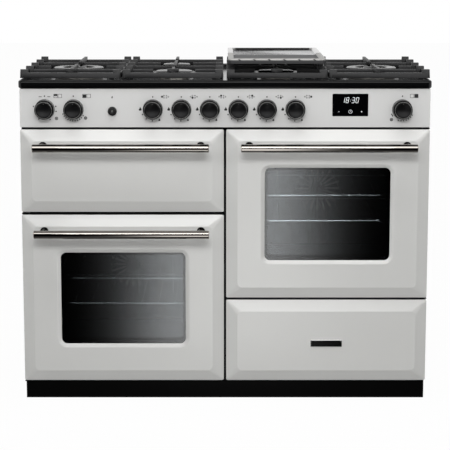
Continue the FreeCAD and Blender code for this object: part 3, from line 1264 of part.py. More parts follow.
# Pan supports: cast iron frames with five cross bars, raised pads and fingers round the flames
def pan_support(label, wide):
    body = new_body(label)
    half, deep = "support_width/2", "support_depth/2"
    first = f"-{deep} + support_pad_depth/2"
    low_z = "bar_top - bar_height"

    frame_face = new_sketch(body, label + "_frame", "XY_Plane", low_z)
    rounded(frame_face, (f"-{half}", half), (f"-{deep}", deep), "support_corner")
    pad(body, frame_face, "bar_height")
    cells = new_sketch(body, label + "_cells", "XY_Plane", "bar_top + cut_over")
    for i in range(4):
        rounded(cells, (f"-{half} + support_bar", f"{half} - support_bar"),
                (f"{first} + {i}*bar_pitch + support_bar/2", f"{first} + {i + 1}*bar_pitch - support_bar/2"),
                "cell_corner")
    pocket(body, cells, "bar_height + 2*cut_over")
    web = new_sketch(body, label + "_web", "XY_Plane", low_z)
    rounded(web, ("-finger_width/2", "finger_width/2"), (f"-{deep} + cast_edge", f"{deep} - cast_edge"),
            "finger_width/2 - fit_gap")
    pad(body, web, "bar_height")

    eyes = new_sketch(body, label + "_eyes", "XY_Plane", "bar_top + cut_over")
    front_end = f"-{deep} + head_setback"
    back_end = f"{deep} - support_pad_depth/2"
    if wide:
        circle(eyes, "0", "0", "wide_burner + eye_gap")
        fingers = ((front_end, "-wide_eye"), ("wide_eye", back_end))
    else:
        circle(eyes, "0", "-burner_row", "front_burner + eye_gap")
        circle(eyes, "0", "burner_row", "back_burner + eye_gap")
        fingers = ((front_end, "-burner_row - small_eye"),
                   ("small_eye - burner_row", "burner_row - small_eye"),
                   ("burner_row + small_eye", back_end))
    pocket(body, eyes, "bar_height + 2*cut_over")
    blades = new_sketch(body, label + "_fingers", "XY_Plane", "bar_top")
    for low, high in fingers:
        rounded(blades, ("-finger_width/2", "finger_width/2"), (low, high), "finger_width/2 - fit_gap")
    pad(body, blades, "finger_top - bar_top")
    head = new_sketch(body, label + "_head", "XY_Plane", "bar_top")
    rounded(head, ("-head_width/2", "head_width/2"), (front_end, f"{front_end} + head_depth"), "cast_edge")
    pad(body, head, "finger_top - bar_top")

    boss = new_sketch(body, label + "_boss", "XY_Plane", low_z)
    foot = new_sketch(body, label + "_foot", "XY_Plane", low_z)
    for side in ("-", ""):
        far, near = f"{side}{half}", f"{side}({half} - support_pad)"
        rounded(boss, (near, far) if not side else (far, near), (f"-{deep}", f"-{deep} + support_pad_depth"),
                "cast_edge")
        far, near = f"{side}({half} - foot_inset)", f"{side}({half} - foot_inset - support_foot)"
        rounded(foot, (near, far) if not side else (far, near),
                (f"{first} - support_foot/2", f"{first} + support_foot/2"), "cast_edge")
    raised = pad(body, boss, "finger_top - bar_top + bar_height")
    bind(raised, TaperAngle="-casting_draft*1 deg")
    line_up(body, raised, "Y_Axis", 5, "4*bar_pitch")
    legs = pad(body, foot, "bar_top - bar_height - fit_gap", True)
    bind(legs, TaperAngle="-casting_draft*1 deg")
    line_up(body, legs, "Y_Axis", 2, "4*bar_pitch")
    return body


for label, x, wide in (("pan_support_left", "-wide_burner_side", True),
                       ("pan_support_centre_left", "-burner_side", False),
                       ("pan_support_centre_right", "burner_side", False),
                       ("pan_support_right", "wide_burner_side", True)):
    keep(put(pan_support(label, wide), x, "hob_y", "hob_floor"), label)

# Griddle: a cast plate with a raised rim, a ribbed front strip and feet on the support's pads
griddle = new_body("griddle")
half, deep = "griddle_width/2", "griddle_depth/2"
face = new_sketch(griddle, "griddle_face", "XY_Plane")
rounded(face, (f"-{half}", half), (f"-{deep}", deep), "griddle_corner")
pad(griddle, face, "griddle_height")
dress(griddle, "Fillet", "griddle_round", "griddle_edge",
      lambda edge: level(edge, "Z", size("griddle_height")))
pairs = []
for tag, offset, inset in (("griddle_mouth", "griddle_height", "griddle_rim"),
                           ("griddle_plate", "griddle_height - griddle_recess",
                            "griddle_rim + griddle_slope")):
    face = new_sketch(griddle, tag, "XY_Plane", offset)
    rounded(face, (f"-{half} + {inset}", f"{half} - ({inset})"),
            (f"-{deep} + {inset} + griddle_front - griddle_rim", f"{deep} - ({inset})"),
            "griddle_corner - griddle_edge")
    pairs.append(face)
loft(griddle, "SubtractiveLoft", "griddle_recess_cut", *pairs)
face = new_sketch(griddle, "griddle_under", "XY_Plane", "-cut_over")
rounded(face, (f"-{half} + griddle_edge + griddle_wall", f"{half} - griddle_edge - griddle_wall"),
        (f"-{deep} + griddle_edge + griddle_wall", f"{deep} - griddle_edge - griddle_wall"),
        "griddle_corner - griddle_edge - griddle_wall")
pocket(griddle, face, "cut_over + griddle_height - griddle_recess - griddle_wall", True)
face = new_sketch(griddle, "griddle_rib", "XY_Plane", "griddle_height + cut_over")
rib_x = "(-5*rib_pitch/2)"
outline(face, [
    (f"{rib_x} - rib_slant/2 - rib_width/2 + rib_slant", f"-{deep} + rib_inset"),
    (f"{rib_x} - rib_slant/2 + rib_width/2 + rib_slant", f"-{deep} + rib_inset"),
    (f"{rib_x} - rib_slant/2 + rib_width/2", f"-{deep} + griddle_front - rib_inset/2"),
    (f"{rib_x} - rib_slant/2 - rib_width/2", f"-{deep} + griddle_front - rib_inset/2")])
one = pocket(griddle, face, "rib_depth + cut_over")
line_up(griddle, one, "X_Axis", 6, "5*rib_pitch")
face = new_sketch(griddle, "griddle_feet", "XY_Plane", "griddle_height - griddle_recess - griddle_wall/2")
for side in ("-", ""):
    far, near = f"{side}({half} - griddle_edge)", f"{side}({half} - griddle_edge - griddle_foot)"
    for row in ("-bar_pitch", "bar_pitch"):
        rounded(face, (near, far) if not side else (far, near),
                (f"{row} - griddle_foot/2", f"{row} + griddle_foot/2"), "cast_edge")
pad(griddle, face, "griddle_height - griddle_recess - griddle_wall/2 + griddle_rise - fit_gap", True)
keep(put(griddle, "burner_side", "hob_y", "griddle_z"), "griddle")


# Every object is checked before any file is written

doc.recompute()
FAULTS = []
for thing in doc.Objects:
    if "Invalid" in thing.State or "Error" in thing.State:
        FAULTS.append(f"{thing.Name}: {thing.State}")
for thing in SUB_PARTS:
    if thing.Shape.isNull() or not thing.Shape.isValid() or not thing.Shape.Solids:
        FAULTS.append(f"{thing.Label}: its shape is missing or not valid")
if FAULTS:
    raise RuntimeError("\n".join(FAULTS))

os.makedirs("parts", exist_ok=True)
for thing in SUB_PARTS:
    thing.Shape.exportStep(f"parts/{thing.Label}.step")
print(f"{len(SUB_PARTS)} sub-parts written")
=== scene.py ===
# %% [markdown]
# # Dressing a dual fuel range cooker
# A range cooker is sheet steel, cast iron, glass and a little bright trim. The CAD model already has its
# solids in their true places, so this lesson gives them finishes and adds what is too small for the solids:
# the printed dials, the clock's digits, screws, fine rings and rolled edges. Everything is in metres, and
# the cooker's front faces -Y.

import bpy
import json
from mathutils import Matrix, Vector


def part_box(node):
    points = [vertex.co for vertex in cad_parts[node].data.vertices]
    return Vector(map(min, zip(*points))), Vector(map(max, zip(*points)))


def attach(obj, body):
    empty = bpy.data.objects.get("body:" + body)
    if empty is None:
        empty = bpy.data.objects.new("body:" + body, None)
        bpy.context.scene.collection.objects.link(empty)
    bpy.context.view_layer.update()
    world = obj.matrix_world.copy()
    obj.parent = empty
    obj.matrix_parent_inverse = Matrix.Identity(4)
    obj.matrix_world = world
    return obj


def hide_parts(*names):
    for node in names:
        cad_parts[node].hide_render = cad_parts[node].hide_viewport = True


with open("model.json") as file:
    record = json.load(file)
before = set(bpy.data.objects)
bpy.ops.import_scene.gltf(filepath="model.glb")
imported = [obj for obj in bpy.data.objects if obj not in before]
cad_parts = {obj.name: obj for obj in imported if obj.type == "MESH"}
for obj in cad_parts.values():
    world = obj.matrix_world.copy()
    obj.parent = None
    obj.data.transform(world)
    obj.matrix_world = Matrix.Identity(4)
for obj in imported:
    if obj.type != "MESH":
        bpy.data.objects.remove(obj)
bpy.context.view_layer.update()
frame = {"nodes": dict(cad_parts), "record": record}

# %% Tools for this lesson
import json
import math

import bmesh
import bpy
from mathutils import Vector

MM = 0.001
nodes = frame["nodes"]
shelf = bpy.context.scene.collection


def linear(text, alpha=1.0):
    """An sRGB hex colour, as a colour picker gives it, in the linear values that Blender works with."""
    parts = [int(text[i:i + 2], 16) / 255 for i in (1, 3, 5)]
    parts = [p / 12.92 if p <= 0.04045 else ((p + 0.055) / 1.055) ** 2.4 for p in parts]
    return (*parts, alpha)


def socket_of(value):
    """A node's first output, and anything else as it is."""
    return value.outputs[0] if isinstance(value, bpy.types.Node) else value


def add(tree, kind, settings=None, inputs=None):
    """A node with its settings, and each input set to a value or linked to a socket or another node."""
    node = tree.nodes.new(kind)
    for name, value in (settings or {}).items():
        setattr(node, name, value)
    for key, value in (inputs or {}).items():
        value = socket_of(value)
        if isinstance(value, bpy.types.NodeSocket):
            tree.links.new(value, node.inputs[key])
        else:
            node.inputs[key].default_value = value
    return node


# %% [markdown]
# ## The camera
# A catalogue photograph is taken from well back with a long lens, so that upright edges stay upright.
# The eye here is about four metres away and higher than the hob, so the pan supports show. The camera
# tilts down by about nine degrees, and a small vertical shift brings the cooker to the middle of the frame.

# %% Camera
IMAGE_WIDTH = 450
LENS_PIXELS = 1522
EYE = (0, -4.261, 1.221)
TILT_DOWN, SHIFT_DOWN = 8.78, 0.1
sight = bpy.data.objects.new("sight", bpy.data.cameras.new("sight"))
shelf.objects.link(sight)
sight.data.sensor_width = 36
sight.data.lens = LENS_PIXELS / IMAGE_WIDTH * sight.data.sensor_width
sight.data.shift_y = -SHIFT_DOWN
sight.data.clip_end = 60
sight.location = EYE
sight.rotation_euler = (math.radians(90 - TILT_DOWN), 0, 0)
bpy.context.scene.camera = sight
bpy.context.scene.view_settings.view_transform = "Standard"
print("lens", round(sight.data.lens, 1), "mm")

# %% [markdown]
# ## Floor and light
# Enamel, chrome and glass show what is round them as much as their own colour. A pale floor, a white
# surround and large soft lamps give clean broad highlights. The surround shows white to the camera and in
# reflections, and lights the cooker at a lower level, so that pale enamel isn't washed out.

# %% Floor
def seen_directly(tree):
    """1 for camera rays and for rays that glass and gloss send out, 0 for the light that falls on things."""
    path = add(tree, "ShaderNodeLightPath")
    seen = add(tree, "ShaderNodeMath", {"operation": "ADD"},
               {0: path.outputs["Is Camera Ray"], 1: path.outputs["Is Glossy Ray"]})
    seen = add(tree, "ShaderNodeMath", {"operation": "ADD", "use_clamp": True},
               {0: seen, 1: path.outputs["Is Transmission Ray"]})
    return seen


def blank_paint(name):
    """A material with an empty node tree, and the tree."""
    paint = bpy.data.materials.new(name)
    paint.use_nodes = True
    paint.node_tree.nodes.clear()
    return paint, paint.node_tree


def plain_floor(white_share, half_size):
    """A pale floor that lights things as paper does, and shows mostly plain white where it is seen."""
    paint, tree = blank_paint("pale_studio_paper")
    where = add(tree, "ShaderNodeTexCoord")
    dust = add(tree, "ShaderNodeTexNoise",
               inputs={"Vector": where.outputs["Object"], "Scale": 1.2, "Detail": 4})
    tone = add(tree, "ShaderNodeMixRGB",
               inputs={"Fac": dust.outputs["Fac"], 1: linear("#c4c4c3"), 2: linear("#c9c9c8")})
    lit = add(tree, "ShaderNodeBsdfPrincipled", inputs={"Base Color": tone, "Roughness": 0.8})
    white = add(tree, "ShaderNodeEmission", inputs={"Color": (1, 1, 1, 1), "Strength": 1})
    share = add(tree, "ShaderNodeMath", {"operation": "MULTIPLY"}, {0: seen_directly(tree), 1: white_share})
    both = add(tree, "ShaderNodeMixShader", inputs={0: share, 1: lit, 2: white})
    add(tree, "ShaderNodeOutputMaterial", inputs={"Surface": both})
    mesh = bpy.data.meshes.new("floor")
    corners = [(-half_size, -half_size, 0), (half_size, -half_size, 0), (half_size, half_size, 0),
               (-half_size, half_size, 0)]
    mesh.from_pydata(corners, [], [(0, 1, 2, 3)])
    mesh.materials.append(paint)
    floor = bpy.data.objects.new("floor", mesh)
    shelf.objects.link(floor)
    return floor


plain_floor(white_share=0.975, half_size=15)

# %% Surround
def white_surround(light_level):
    """White where it is seen, and a lower level of light on the cooker."""
    world = bpy.data.worlds.new("white_surround")
    world.use_nodes = True
    bpy.context.scene.world = world
    tree = world.node_tree
    tree.nodes.clear()
    level = add(tree, "ShaderNodeMapRange",
                inputs={"Value": seen_directly(tree), "To Min": light_level, "To Max": 1})
    sky = add(tree, "ShaderNodeBackground", inputs={"Color": (1, 1, 1, 1), "Strength": level})
    add(tree, "ShaderNodeOutputWorld", inputs={"Surface": sky})


white_surround(light_level=0.22)

# %% Lamps
def soft_lamp(name, place, target, size, watts):
    """A rectangular lamp that looks at a target."""
    lamp = bpy.data.objects.new(name, bpy.data.lights.new(name, "AREA"))
    lamp.data.shape = "RECTANGLE"
    lamp.data.size, lamp.data.size_y = size
    lamp.data.energy = watts
    lamp.location = place
    lamp.rotation_euler = (Vector(target) - Vector(place)).to_track_quat("-Z", "Y").to_euler()
    shelf.objects.link(lamp)
    return lamp


soft_lamp("overhead", place=(0, -0.6, 3.0), target=(0, -0.1, 0.5), size=(2.6, 1.6), watts=66)
soft_lamp("high_front", place=(0, -3.2, 2.3), target=(0, -0.3, 0.5), size=(1.6, 0.6), watts=50)
soft_lamp("front_left", place=(-2.4, -2.9, 2.2), target=(0, -0.2, 0.5), size=(1.4, 0.8), watts=17)
soft_lamp("front_right", place=(2.6, -2.9, 1.9), target=(0, -0.2, 0.5), size=(1.4, 0.8), watts=14)

# %% [markdown]
# ## Cards for the reflections
# Glass and chrome look flat when all that they reflect is white. Studios stand cards round the object, out
# of the picture. A card in front glows in its middle and darkens towards its ends, so that door glass fades
# from grey to black. Black cards overhead and on the floor give the handle bars their dark streaks, because
# a bar shows the whole room from top to bottom, and a bright strip between them draws the fine lights on
# bars and shelf wires. Only glossy and transmitted rays see the cards.

# %% Card
def reflected_card(name, corners, glow):
    """A card that only reflections see: its corners, and the glow's strength or how to work it out."""
    paint, tree = blank_paint(name + "_paper")
    strength = glow(tree) if callable(glow) else glow
    shine = add(tree, "ShaderNodeEmission", inputs={"Color": (1, 1, 1, 1), "Strength": strength})
    add(tree, "ShaderNodeOutputMaterial", inputs={"Surface": shine})
    mesh = bpy.data.meshes.new(name)
    mesh.from_pydata(corners, [], [(0, 1, 2, 3)])
    mesh.materials.append(paint)
    card = bpy.data.objects.new(name, mesh)
    shelf.objects.link(card)
    card.visible_camera = card.visible_diffuse = card.visible_shadow = False
    card.visible_volume_scatter = False
    return card


def bell_glow(level, core, spread, top, soft):
    """A glow in a core about X = 0 that falls off to the sides as a bell curve, and stops at a height."""
    def strength(tree):
        where = add(tree, "ShaderNodeTexCoord")
        split = add(tree, "ShaderNodeSeparateXYZ", inputs={0: where.outputs["Object"]})
        bell = split.outputs["X"]
        for operation, by in (("ABSOLUTE", 0), ("SUBTRACT", core), ("MAXIMUM", 0), ("DIVIDE", spread),
                              ("POWER", 2), ("MULTIPLY", -0.5), ("EXPONENT", 0)):
            bell = add(tree, "ShaderNodeMath", {"operation": operation}, {0: bell, 1: by})
        low = add(tree, "ShaderNodeMapRange", inputs={"Value": split.outputs["Z"], "From Min": top - soft,
                                                      "From Max": top, "To Min": level, "To Max": 0.0})
        glow = add(tree, "ShaderNodeMath", {"operation": "MULTIPLY"}, {0: bell, 1: low})
        return glow
    return strength


# %% Cards in their places
CARD_Y, CARD_SIDE, CARD_FOOT = -0.85, 1.8, 0.002


def upright_corners(first_x, last_x, foot, top):
    """The corners of an upright card in front of the cooker."""
    return [(first_x, CARD_Y, foot), (last_x, CARD_Y, foot), (last_x, CARD_Y, top), (first_x, CARD_Y, top)]


def level_corners(front_y, back_y, height):
    """The corners of a level card."""
    return [(-CARD_SIDE, front_y, height), (CARD_SIDE, front_y, height), (CARD_SIDE, back_y, height),
            (-CARD_SIDE, back_y, height)]


for side, first, last, glow_top in (("left", -CARD_SIDE, 0.0, 0.34), ("right", 0.0, CARD_SIDE, 0.6)):
    reflected_card(side + "_front_card", upright_corners(first, last, CARD_FOOT, top=0.825),
                   bell_glow(level=2.2, core=0.12, spread=0.107, top=glow_top, soft=0.03))
reflected_card("floor_card", level_corners(CARD_Y, back_y=-0.24, height=CARD_FOOT), glow=0.12)
reflected_card("overhead_card", level_corners(front_y=-1.05, back_y=0.5, height=1.9), glow=0.03)
reflected_card("strip_card", upright_corners(-CARD_SIDE, CARD_SIDE, foot=0.95, top=1.6), glow=3.2)

# %% [markdown]
# ## Finishes
# Each material below starts from the real one. A Principled shader takes its plain values straight on its
# sockets, and noise, cells or stretched grain give what is uneven: orange peel in enamel, spangle in zinc,
# brush lines in steel, the sandy skin of a casting. Sizes in millimetres turn into texture scales here.

# %% A finish and its measure
def per_metre(size_mm):
    """The texture scale at which one cell is about this many millimetres wide."""
    return 1000 / size_mm


def new_finish(name, **surface):
    """A material with a Principled shader, and its tree, shader and object coordinates to build on."""
    finish, tree = blank_paint(name)
    skin = add(tree, "ShaderNodeBsdfPrincipled", inputs={k.replace("_", " "): v for k, v in surface.items()})
    add(tree, "ShaderNodeOutputMaterial", inputs={"Surface": skin})
    where = add(tree, "ShaderNodeTexCoord")
    return finish, tree, skin, where.outputs["Object"]


def feed(tree, skin, **results):
    """Links each result, a node or a socket, to the shader's input of that name."""
    for label, result in results.items():
        tree.links.new(socket_of(result), skin.inputs[label.replace("_", " ")])


def between(low, high):
    """Two greys or numbers as the ends of a Map Range."""
    return {"To Min": low, "To Max": high}


# %% [markdown]
# ### Sprayed and fired fronts
# The fronts and the fascia are sheet steel with a sprayed, hard, half-gloss coat. Close to, such a coat has
# a faint orange peel of about a millimetre and a half, and its tone drifts very slightly across the front.
# Behind the folded edge the returns are coloured near black. That is painted shade: it stands for the shade
# in the narrow joints between the fronts, so that the joints look like black lines. So the colour changes
# along Y, except round the door windows.

# %% Sprayed fronts
WINDOW_X, LEFT_WINDOW_Z, RIGHT_WINDOW_Z = 0.2726, 0.283, 0.512
WINDOW_REACH_UP, WINDOW_REACH_ASIDE = 0.15, 0.19
# the plane behind which the returns are painted near black, as painted shade for the joints between fronts
GAP_SHADE_FROM_Y = -0.262 + 1.2 * MM


def beyond_line(tree, at, axis, start, soft):
    """0 on the near side of a plane across an axis and 1 past it, with a soft change between."""
    split = add(tree, "ShaderNodeSeparateXYZ", inputs={0: at})
    return add(tree, "ShaderNodeMapRange",
               inputs={"Value": split.outputs[axis], "From Min": start, "From Max": start + soft})


def around_windows(tree, at):
    """1 round the two door windows and 0 elsewhere, worked out from the height of each window."""
    split = add(tree, "ShaderNodeSeparateXYZ", inputs={0: at})
    level = add(tree, "ShaderNodeMapRange",
                inputs={"Value": split.outputs["X"], "From Min": -10 * MM, "From Max": 10 * MM,
                        **between(LEFT_WINDOW_Z, RIGHT_WINDOW_Z)})
    away = add(tree, "ShaderNodeMath", {"operation": "ABSOLUTE"}, {0: split.outputs["X"]})
    near = []
    for value, centre, reach in ((split.outputs["Z"], level, WINDOW_REACH_UP),
                                 (away, WINDOW_X, WINDOW_REACH_ASIDE)):
        for operation, by in (("SUBTRACT", centre), ("ABSOLUTE", 0), ("LESS_THAN", reach)):
            value = add(tree, "ShaderNodeMath", {"operation": operation}, {0: value, 1: by})
        near.append(value)
    return add(tree, "ShaderNodeMath", {"operation": "MULTIPLY"}, {0: near[0], 1: near[1]})


def sprayed_front(name, shade, other, rough, coat):
    finish, tree, skin, at = new_finish(name, Roughness=rough, Coat_Weight=coat, Coat_Roughness=0.12)
    drift = add(tree, "ShaderNodeTexNoise", inputs={"Vector": at, "Scale": per_metre(240), "Detail": 3})
    tone = add(tree, "ShaderNodeMixRGB",
               inputs={"Fac": drift.outputs["Fac"], 1: linear(shade), 2: linear(other)})
    # painted shade: behind the plane, except round the windows, the colour turns near black for the shade in
    # the joints
    behind = beyond_line(tree, at, "Y", GAP_SHADE_FROM_Y, 0.5 * MM)
    gap_shade_mask = add(tree, "ShaderNodeMath", {"operation": "SUBTRACT", "use_clamp": True},
                 {0: behind, 1: around_windows(tree, at)})
    tone_with_gap_shade = add(tree, "ShaderNodeMixRGB", inputs={"Fac": gap_shade_mask, 1: tone, 2: linear("#060606")})
    peel = add(tree, "ShaderNodeTexNoise", inputs={"Vector": at, "Scale": per_metre(1.6), "Detail": 2})
    bump = add(tree, "ShaderNodeBump",
               inputs={"Height": peel.outputs["Fac"], "Strength": 0.05, "Distance": 0.0004})
    feed(tree, skin, Base_Color=tone_with_gap_shade, Normal=bump)
    return finish


stone_front = sprayed_front("sprayed_stone_enamel", "#c3c3c1", "#c0c0be", rough=0.4, coat=0.16)
stone_fascia = sprayed_front("sprayed_stone_fascia", "#c6c6c5", "#c4c4c3", rough=0.42, coat=0.2)
print(stone_front.name, stone_fascia.name)

# %% [markdown]
# ### Fired black enamel
# The hob tray, its rail and the plinth are dipped in glass powder and fired. The glass flows out smooth and
# deep, and fine pits stay where gas left it. Inside the ovens the same coat is speckled with a lighter frit.

# %% Fired enamel
def fired_enamel(name, shade, rough, index, speckle=None, speckle_mm=None):
    finish, tree, skin, at = new_finish(name, Roughness=rough, IOR=index)
    if speckle:
        cells = add(tree, "ShaderNodeTexVoronoi", inputs={"Vector": at, "Scale": per_metre(speckle_mm)})
        fill = add(tree, "ShaderNodeMapRange",
                   inputs={"Value": cells.outputs["Distance"], "From Min": 0.12, "From Max": 0.24,
                           **between(1, 0)})
    else:
        speckle = shade
        drift = add(tree, "ShaderNodeTexNoise", inputs={"Vector": at, "Scale": per_metre(60)})
        fill = drift.outputs["Fac"]
    tone = add(tree, "ShaderNodeMixRGB", inputs={"Fac": fill, 1: linear(shade), 2: linear(speckle)})
    flow = add(tree, "ShaderNodeTexNoise", inputs={"Vector": at, "Scale": per_metre(9), "Detail": 3})
    bump = add(tree, "ShaderNodeBump",
               inputs={"Height": flow.outputs["Fac"], "Strength": 0.06, "Distance": 0.0006})
    feed(tree, skin, Base_Color=tone, Normal=bump)
    return finish


black_enamel = fired_enamel("fired_black_enamel", "#040405", rough=0.12, index=1.3)
hob_enamel = fired_enamel("fired_hob_enamel", "#0c0c0d", rough=0.16, index=1.45, speckle="#151517",
                          speckle_mm=1.4)
plinth_enamel = fired_enamel("fired_plinth_enamel", "#040404", rough=0.3, index=1.2)
oven_enamel = fired_enamel("speckled_oven_enamel", "#09090b", rough=0.28, index=1.3, speckle="#26282c",
                           speckle_mm=3.2)
cap_enamel = fired_enamel("fired_burner_cap_enamel", "#0a0a0a", rough=0.2, index=1.5, speckle="#141414",
                          speckle_mm=1.1)
print(black_enamel.name, oven_enamel.name)

# %% [markdown]
# ### Bright and brushed steel
# The handle bars are tube that is polished along its length, so its finest lines run along X. The posts
# that carry them are cast and blackened, so the tone changes behind the tube. Shelf wire is chromed, the
# runners are zinc plated, and steel that sits in the ovens' heat has dulled. Noise that is stretched many
# times along the lines moves the roughness and lifts a very small bump.

# %% Steels
def reopened(finish):
    """The tree, the shader and new object coordinates of a finish that gets one more rule."""
    tree = finish.node_tree
    skin = next(node for node in tree.nodes if node.type == "BSDF_PRINCIPLED")
    return tree, skin, add(tree, "ShaderNodeTexCoord").outputs["Object"]


def brushed_metal(name, shade, rough, spread, line_mm, stretch, strength):
    finish, tree, skin, at = new_finish(name, Metallic=1, Base_Color=linear(shade))
    along = add(tree, "ShaderNodeMapping", inputs={"Vector": at, "Scale": stretch})
    lines = add(tree, "ShaderNodeTexNoise",
                inputs={"Vector": along, "Scale": per_metre(line_mm), "Detail": 5, "Roughness": 0.6})
    polish = add(tree, "ShaderNodeMapRange",
                 inputs={"Value": lines.outputs["Fac"], "From Min": 0.3, "From Max": 0.7,
                         **between(rough, rough + spread)})
    bump = add(tree, "ShaderNodeBump",
               inputs={"Height": lines.outputs["Fac"], "Strength": strength, "Distance": 0.0002})
    feed(tree, skin, Roughness=polish, Normal=bump)
    return finish


def blackened_behind(finish, plane_y, shade, blackened):
    """The finish with a darker tone on what lies behind a plane across Y."""
    tree, skin, at = reopened(finish)
    behind = beyond_line(tree, at, "Y", plane_y, 1 * MM)
    tone = add(tree, "ShaderNodeMixRGB", inputs={"Fac": behind, 1: linear(shade), 2: linear(blackened)})
    feed(tree, skin, Base_Color=tone)


TUBE_THICK = 21.5 * MM
EVEN = (1, 1, 1)
bar_steel = brushed_metal("polished_tube_steel", "#9a9590", rough=0.03, spread=0.05, line_mm=1.2,
                          stretch=(0.03, 1, 1), strength=0.03)
blackened_behind(bar_steel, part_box("grill_handle")[0].y + TUBE_THICK, "#9a9590", "#262626")
chromed_wire = brushed_metal("chromed_steel_wire", "#dededc", rough=0.07, spread=0.1, line_mm=4.0,
                             stretch=EVEN, strength=0.03)
dark_steel = brushed_metal("heat_dulled_steel", "#55524e", rough=0.35, spread=0.2, line_mm=3.0, stretch=EVEN,
                           strength=0.15)
runner_steel = brushed_metal("zinc_plated_runner", "#9a9da0", rough=0.24, spread=0.14, line_mm=3.0,
                             stretch=(1, 0.05, 1), strength=0.08)
print(bar_steel.name, chromed_wire.name)

# %% [markdown]
# ### Galvanised sheet
# Hidden panels are left in zinc. It cools in crystals a centimetre or so across, each of which turns the
# light a little differently, so Voronoi cells set the tone and the roughness at once.

# %% Galvanised sheet
def galvanised(name, dark, light, spangle_mm):
    finish, tree, skin, at = new_finish(name, Metallic=0.85)
    cells = add(tree, "ShaderNodeTexVoronoi", inputs={"Vector": at, "Scale": per_metre(spangle_mm)})
    grey = add(tree, "ShaderNodeRGBToBW", inputs={"Color": cells.outputs["Color"]})
    tone = add(tree, "ShaderNodeMixRGB", inputs={"Fac": grey, 1: linear(dark), 2: linear(light)})
    rough = add(tree, "ShaderNodeMapRange", inputs={"Value": grey, **between(0.34, 0.52)})
    feed(tree, skin, Base_Color=tone, Roughness=rough)
    return finish


zinc_sheet = galvanised("galvanised_sheet", "#8d9092", "#a9abad", spangle_mm=11)
print(zinc_sheet.name)

# %% [markdown]
# ### Castings
# The pan supports are cast iron under a matt black enamel, which keeps some of the sand's grain. The
# burner crowns are aluminium alloy, shot-blasted pale and slightly stained by heat. The griddle plate has
# a dark coating, matt on its front half and smooth on the back, and the top of its rim is ground bright.
# Where a finish changes on one casting, the height or the depth of a point decides which one it wears.

# %% Castings
def casting(name, shade, other, rough, metal, grain_mm, depth_mm, index=1.5):
    finish, tree, skin, at = new_finish(name, Metallic=metal, IOR=index)
    stain = add(tree, "ShaderNodeTexNoise", inputs={"Vector": at, "Scale": per_metre(22), "Detail": 5})
    tone = add(tree, "ShaderNodeMixRGB",
               inputs={"Fac": stain.outputs["Fac"], 1: linear(shade), 2: linear(other)})
    dull = add(tree, "ShaderNodeMapRange",
               inputs={"Value": stain.outputs["Fac"], **between(rough - 0.06, rough + 0.1)})
    sand = add(tree, "ShaderNodeTexNoise", inputs={"Vector": at, "Scale": per_metre(grain_mm), "Detail": 4})
    bump = add(tree, "ShaderNodeBump",
               inputs={"Height": sand.outputs["Fac"], "Strength": 0.5, "Distance": depth_mm * MM})
    feed(tree, skin, Base_Color=tone, Roughness=dull, Normal=bump)
    return finish


support_iron = casting("matt_enamelled_cast_iron", "#0c0c0d", "#141415", rough=0.42, metal=0.0, grain_mm=0.9,
                       depth_mm=0.25, index=1.3)
crown_alloy = casting("blasted_burner_alloy", "#b9b7b2", "#a29e97", rough=0.38, metal=0.9, grain_mm=0.6,
                      depth_mm=0.1)
plate_alloy = casting("coated_griddle_alloy", "#1b1b1d", "#222224", rough=0.2, metal=0.0, grain_mm=0.8,
                      depth_mm=0.04)


def ground_above(finish, plane_z, coating, bright):
    """Bare bright metal on everything above a height: the ground top of a coated casting."""
    tree, skin, at = reopened(finish)
    above = beyond_line(tree, at, "Z", plane_z, 0.4 * MM)
    tone = add(tree, "ShaderNodeMixRGB", inputs={"Fac": above, 1: linear(coating), 2: linear(bright)})
    feed(tree, skin, Base_Color=tone, Metallic=above)


def smoother_behind(finish, plane_y, rough, smooth):
    """A finish that is matt in front of a plane across Y and smoother behind it."""
    tree, skin, at = reopened(finish)
    split = add(tree, "ShaderNodeSeparateXYZ", inputs={0: at})
    polish = add(tree, "ShaderNodeMapRange",
                 inputs={"Value": split.outputs["Y"], "From Min": plane_y - 4 * MM,
                         "From Max": plane_y + 4 * MM, **between(rough, smooth)})
    feed(tree, skin, Roughness=polish)


griddle_low, griddle_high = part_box("griddle")
MATT_ENDS, GROUND_DEPTH = 10 * MM, 3.6 * MM
smoother_behind(plate_alloy, (griddle_low.y + griddle_high.y) / 2 + MATT_ENDS, rough=0.62, smooth=0.14)
ground_above(plate_alloy, griddle_high.z - GROUND_DEPTH, "#151517", "#989795")
brass = casting("turned_brass", "#b08d4f", "#a17c40", rough=0.28, metal=1.0, grain_mm=1.5, depth_mm=0.03)
gas_tube = casting("aluminised_gas_tube", "#a3a4a3", "#8f908f", rough=0.3, metal=0.9, grain_mm=2.0,
                   depth_mm=0.03)
print(support_iron.name, crown_alloy.name)

# %% [markdown]
# ### Glass, plastics, rope and ceramic
# Door glass is tinted and clear; the clock's window is black glass. Knobs are moulded with a fine
# spark-eroded grain. The oven seal is braided glass yarn, so crossed waves make its plaits.

# %% Glass
def door_glass(name, tint, other):
    finish, tree, skin, at = new_finish(name, Transmission_Weight=1, IOR=1.5, Roughness=0.0)
    wash = add(tree, "ShaderNodeTexNoise", inputs={"Vector": at, "Scale": per_metre(300), "Detail": 2})
    tone = add(tree, "ShaderNodeMixRGB",
               inputs={"Fac": wash.outputs["Fac"], 1: linear(tint), 2: linear(other)})
    feed(tree, skin, Base_Color=tone)
    return finish


def moulded(name, shade, rough, grain_mm, strength, index=1.5):
    finish, tree, skin, at = new_finish(name, Base_Color=linear(shade), Roughness=rough, IOR=index)
    grain = add(tree, "ShaderNodeTexNoise", inputs={"Vector": at, "Scale": per_metre(grain_mm), "Detail": 3})
    bump = add(tree, "ShaderNodeBump",
               inputs={"Height": grain.outputs["Fac"], "Strength": strength, "Distance": 0.0001})
    gloss = add(tree, "ShaderNodeMapRange",
                inputs={"Value": grain.outputs["Fac"], **between(rough - 0.04, rough + 0.06)})
    feed(tree, skin, Normal=bump, Roughness=gloss)
    return finish


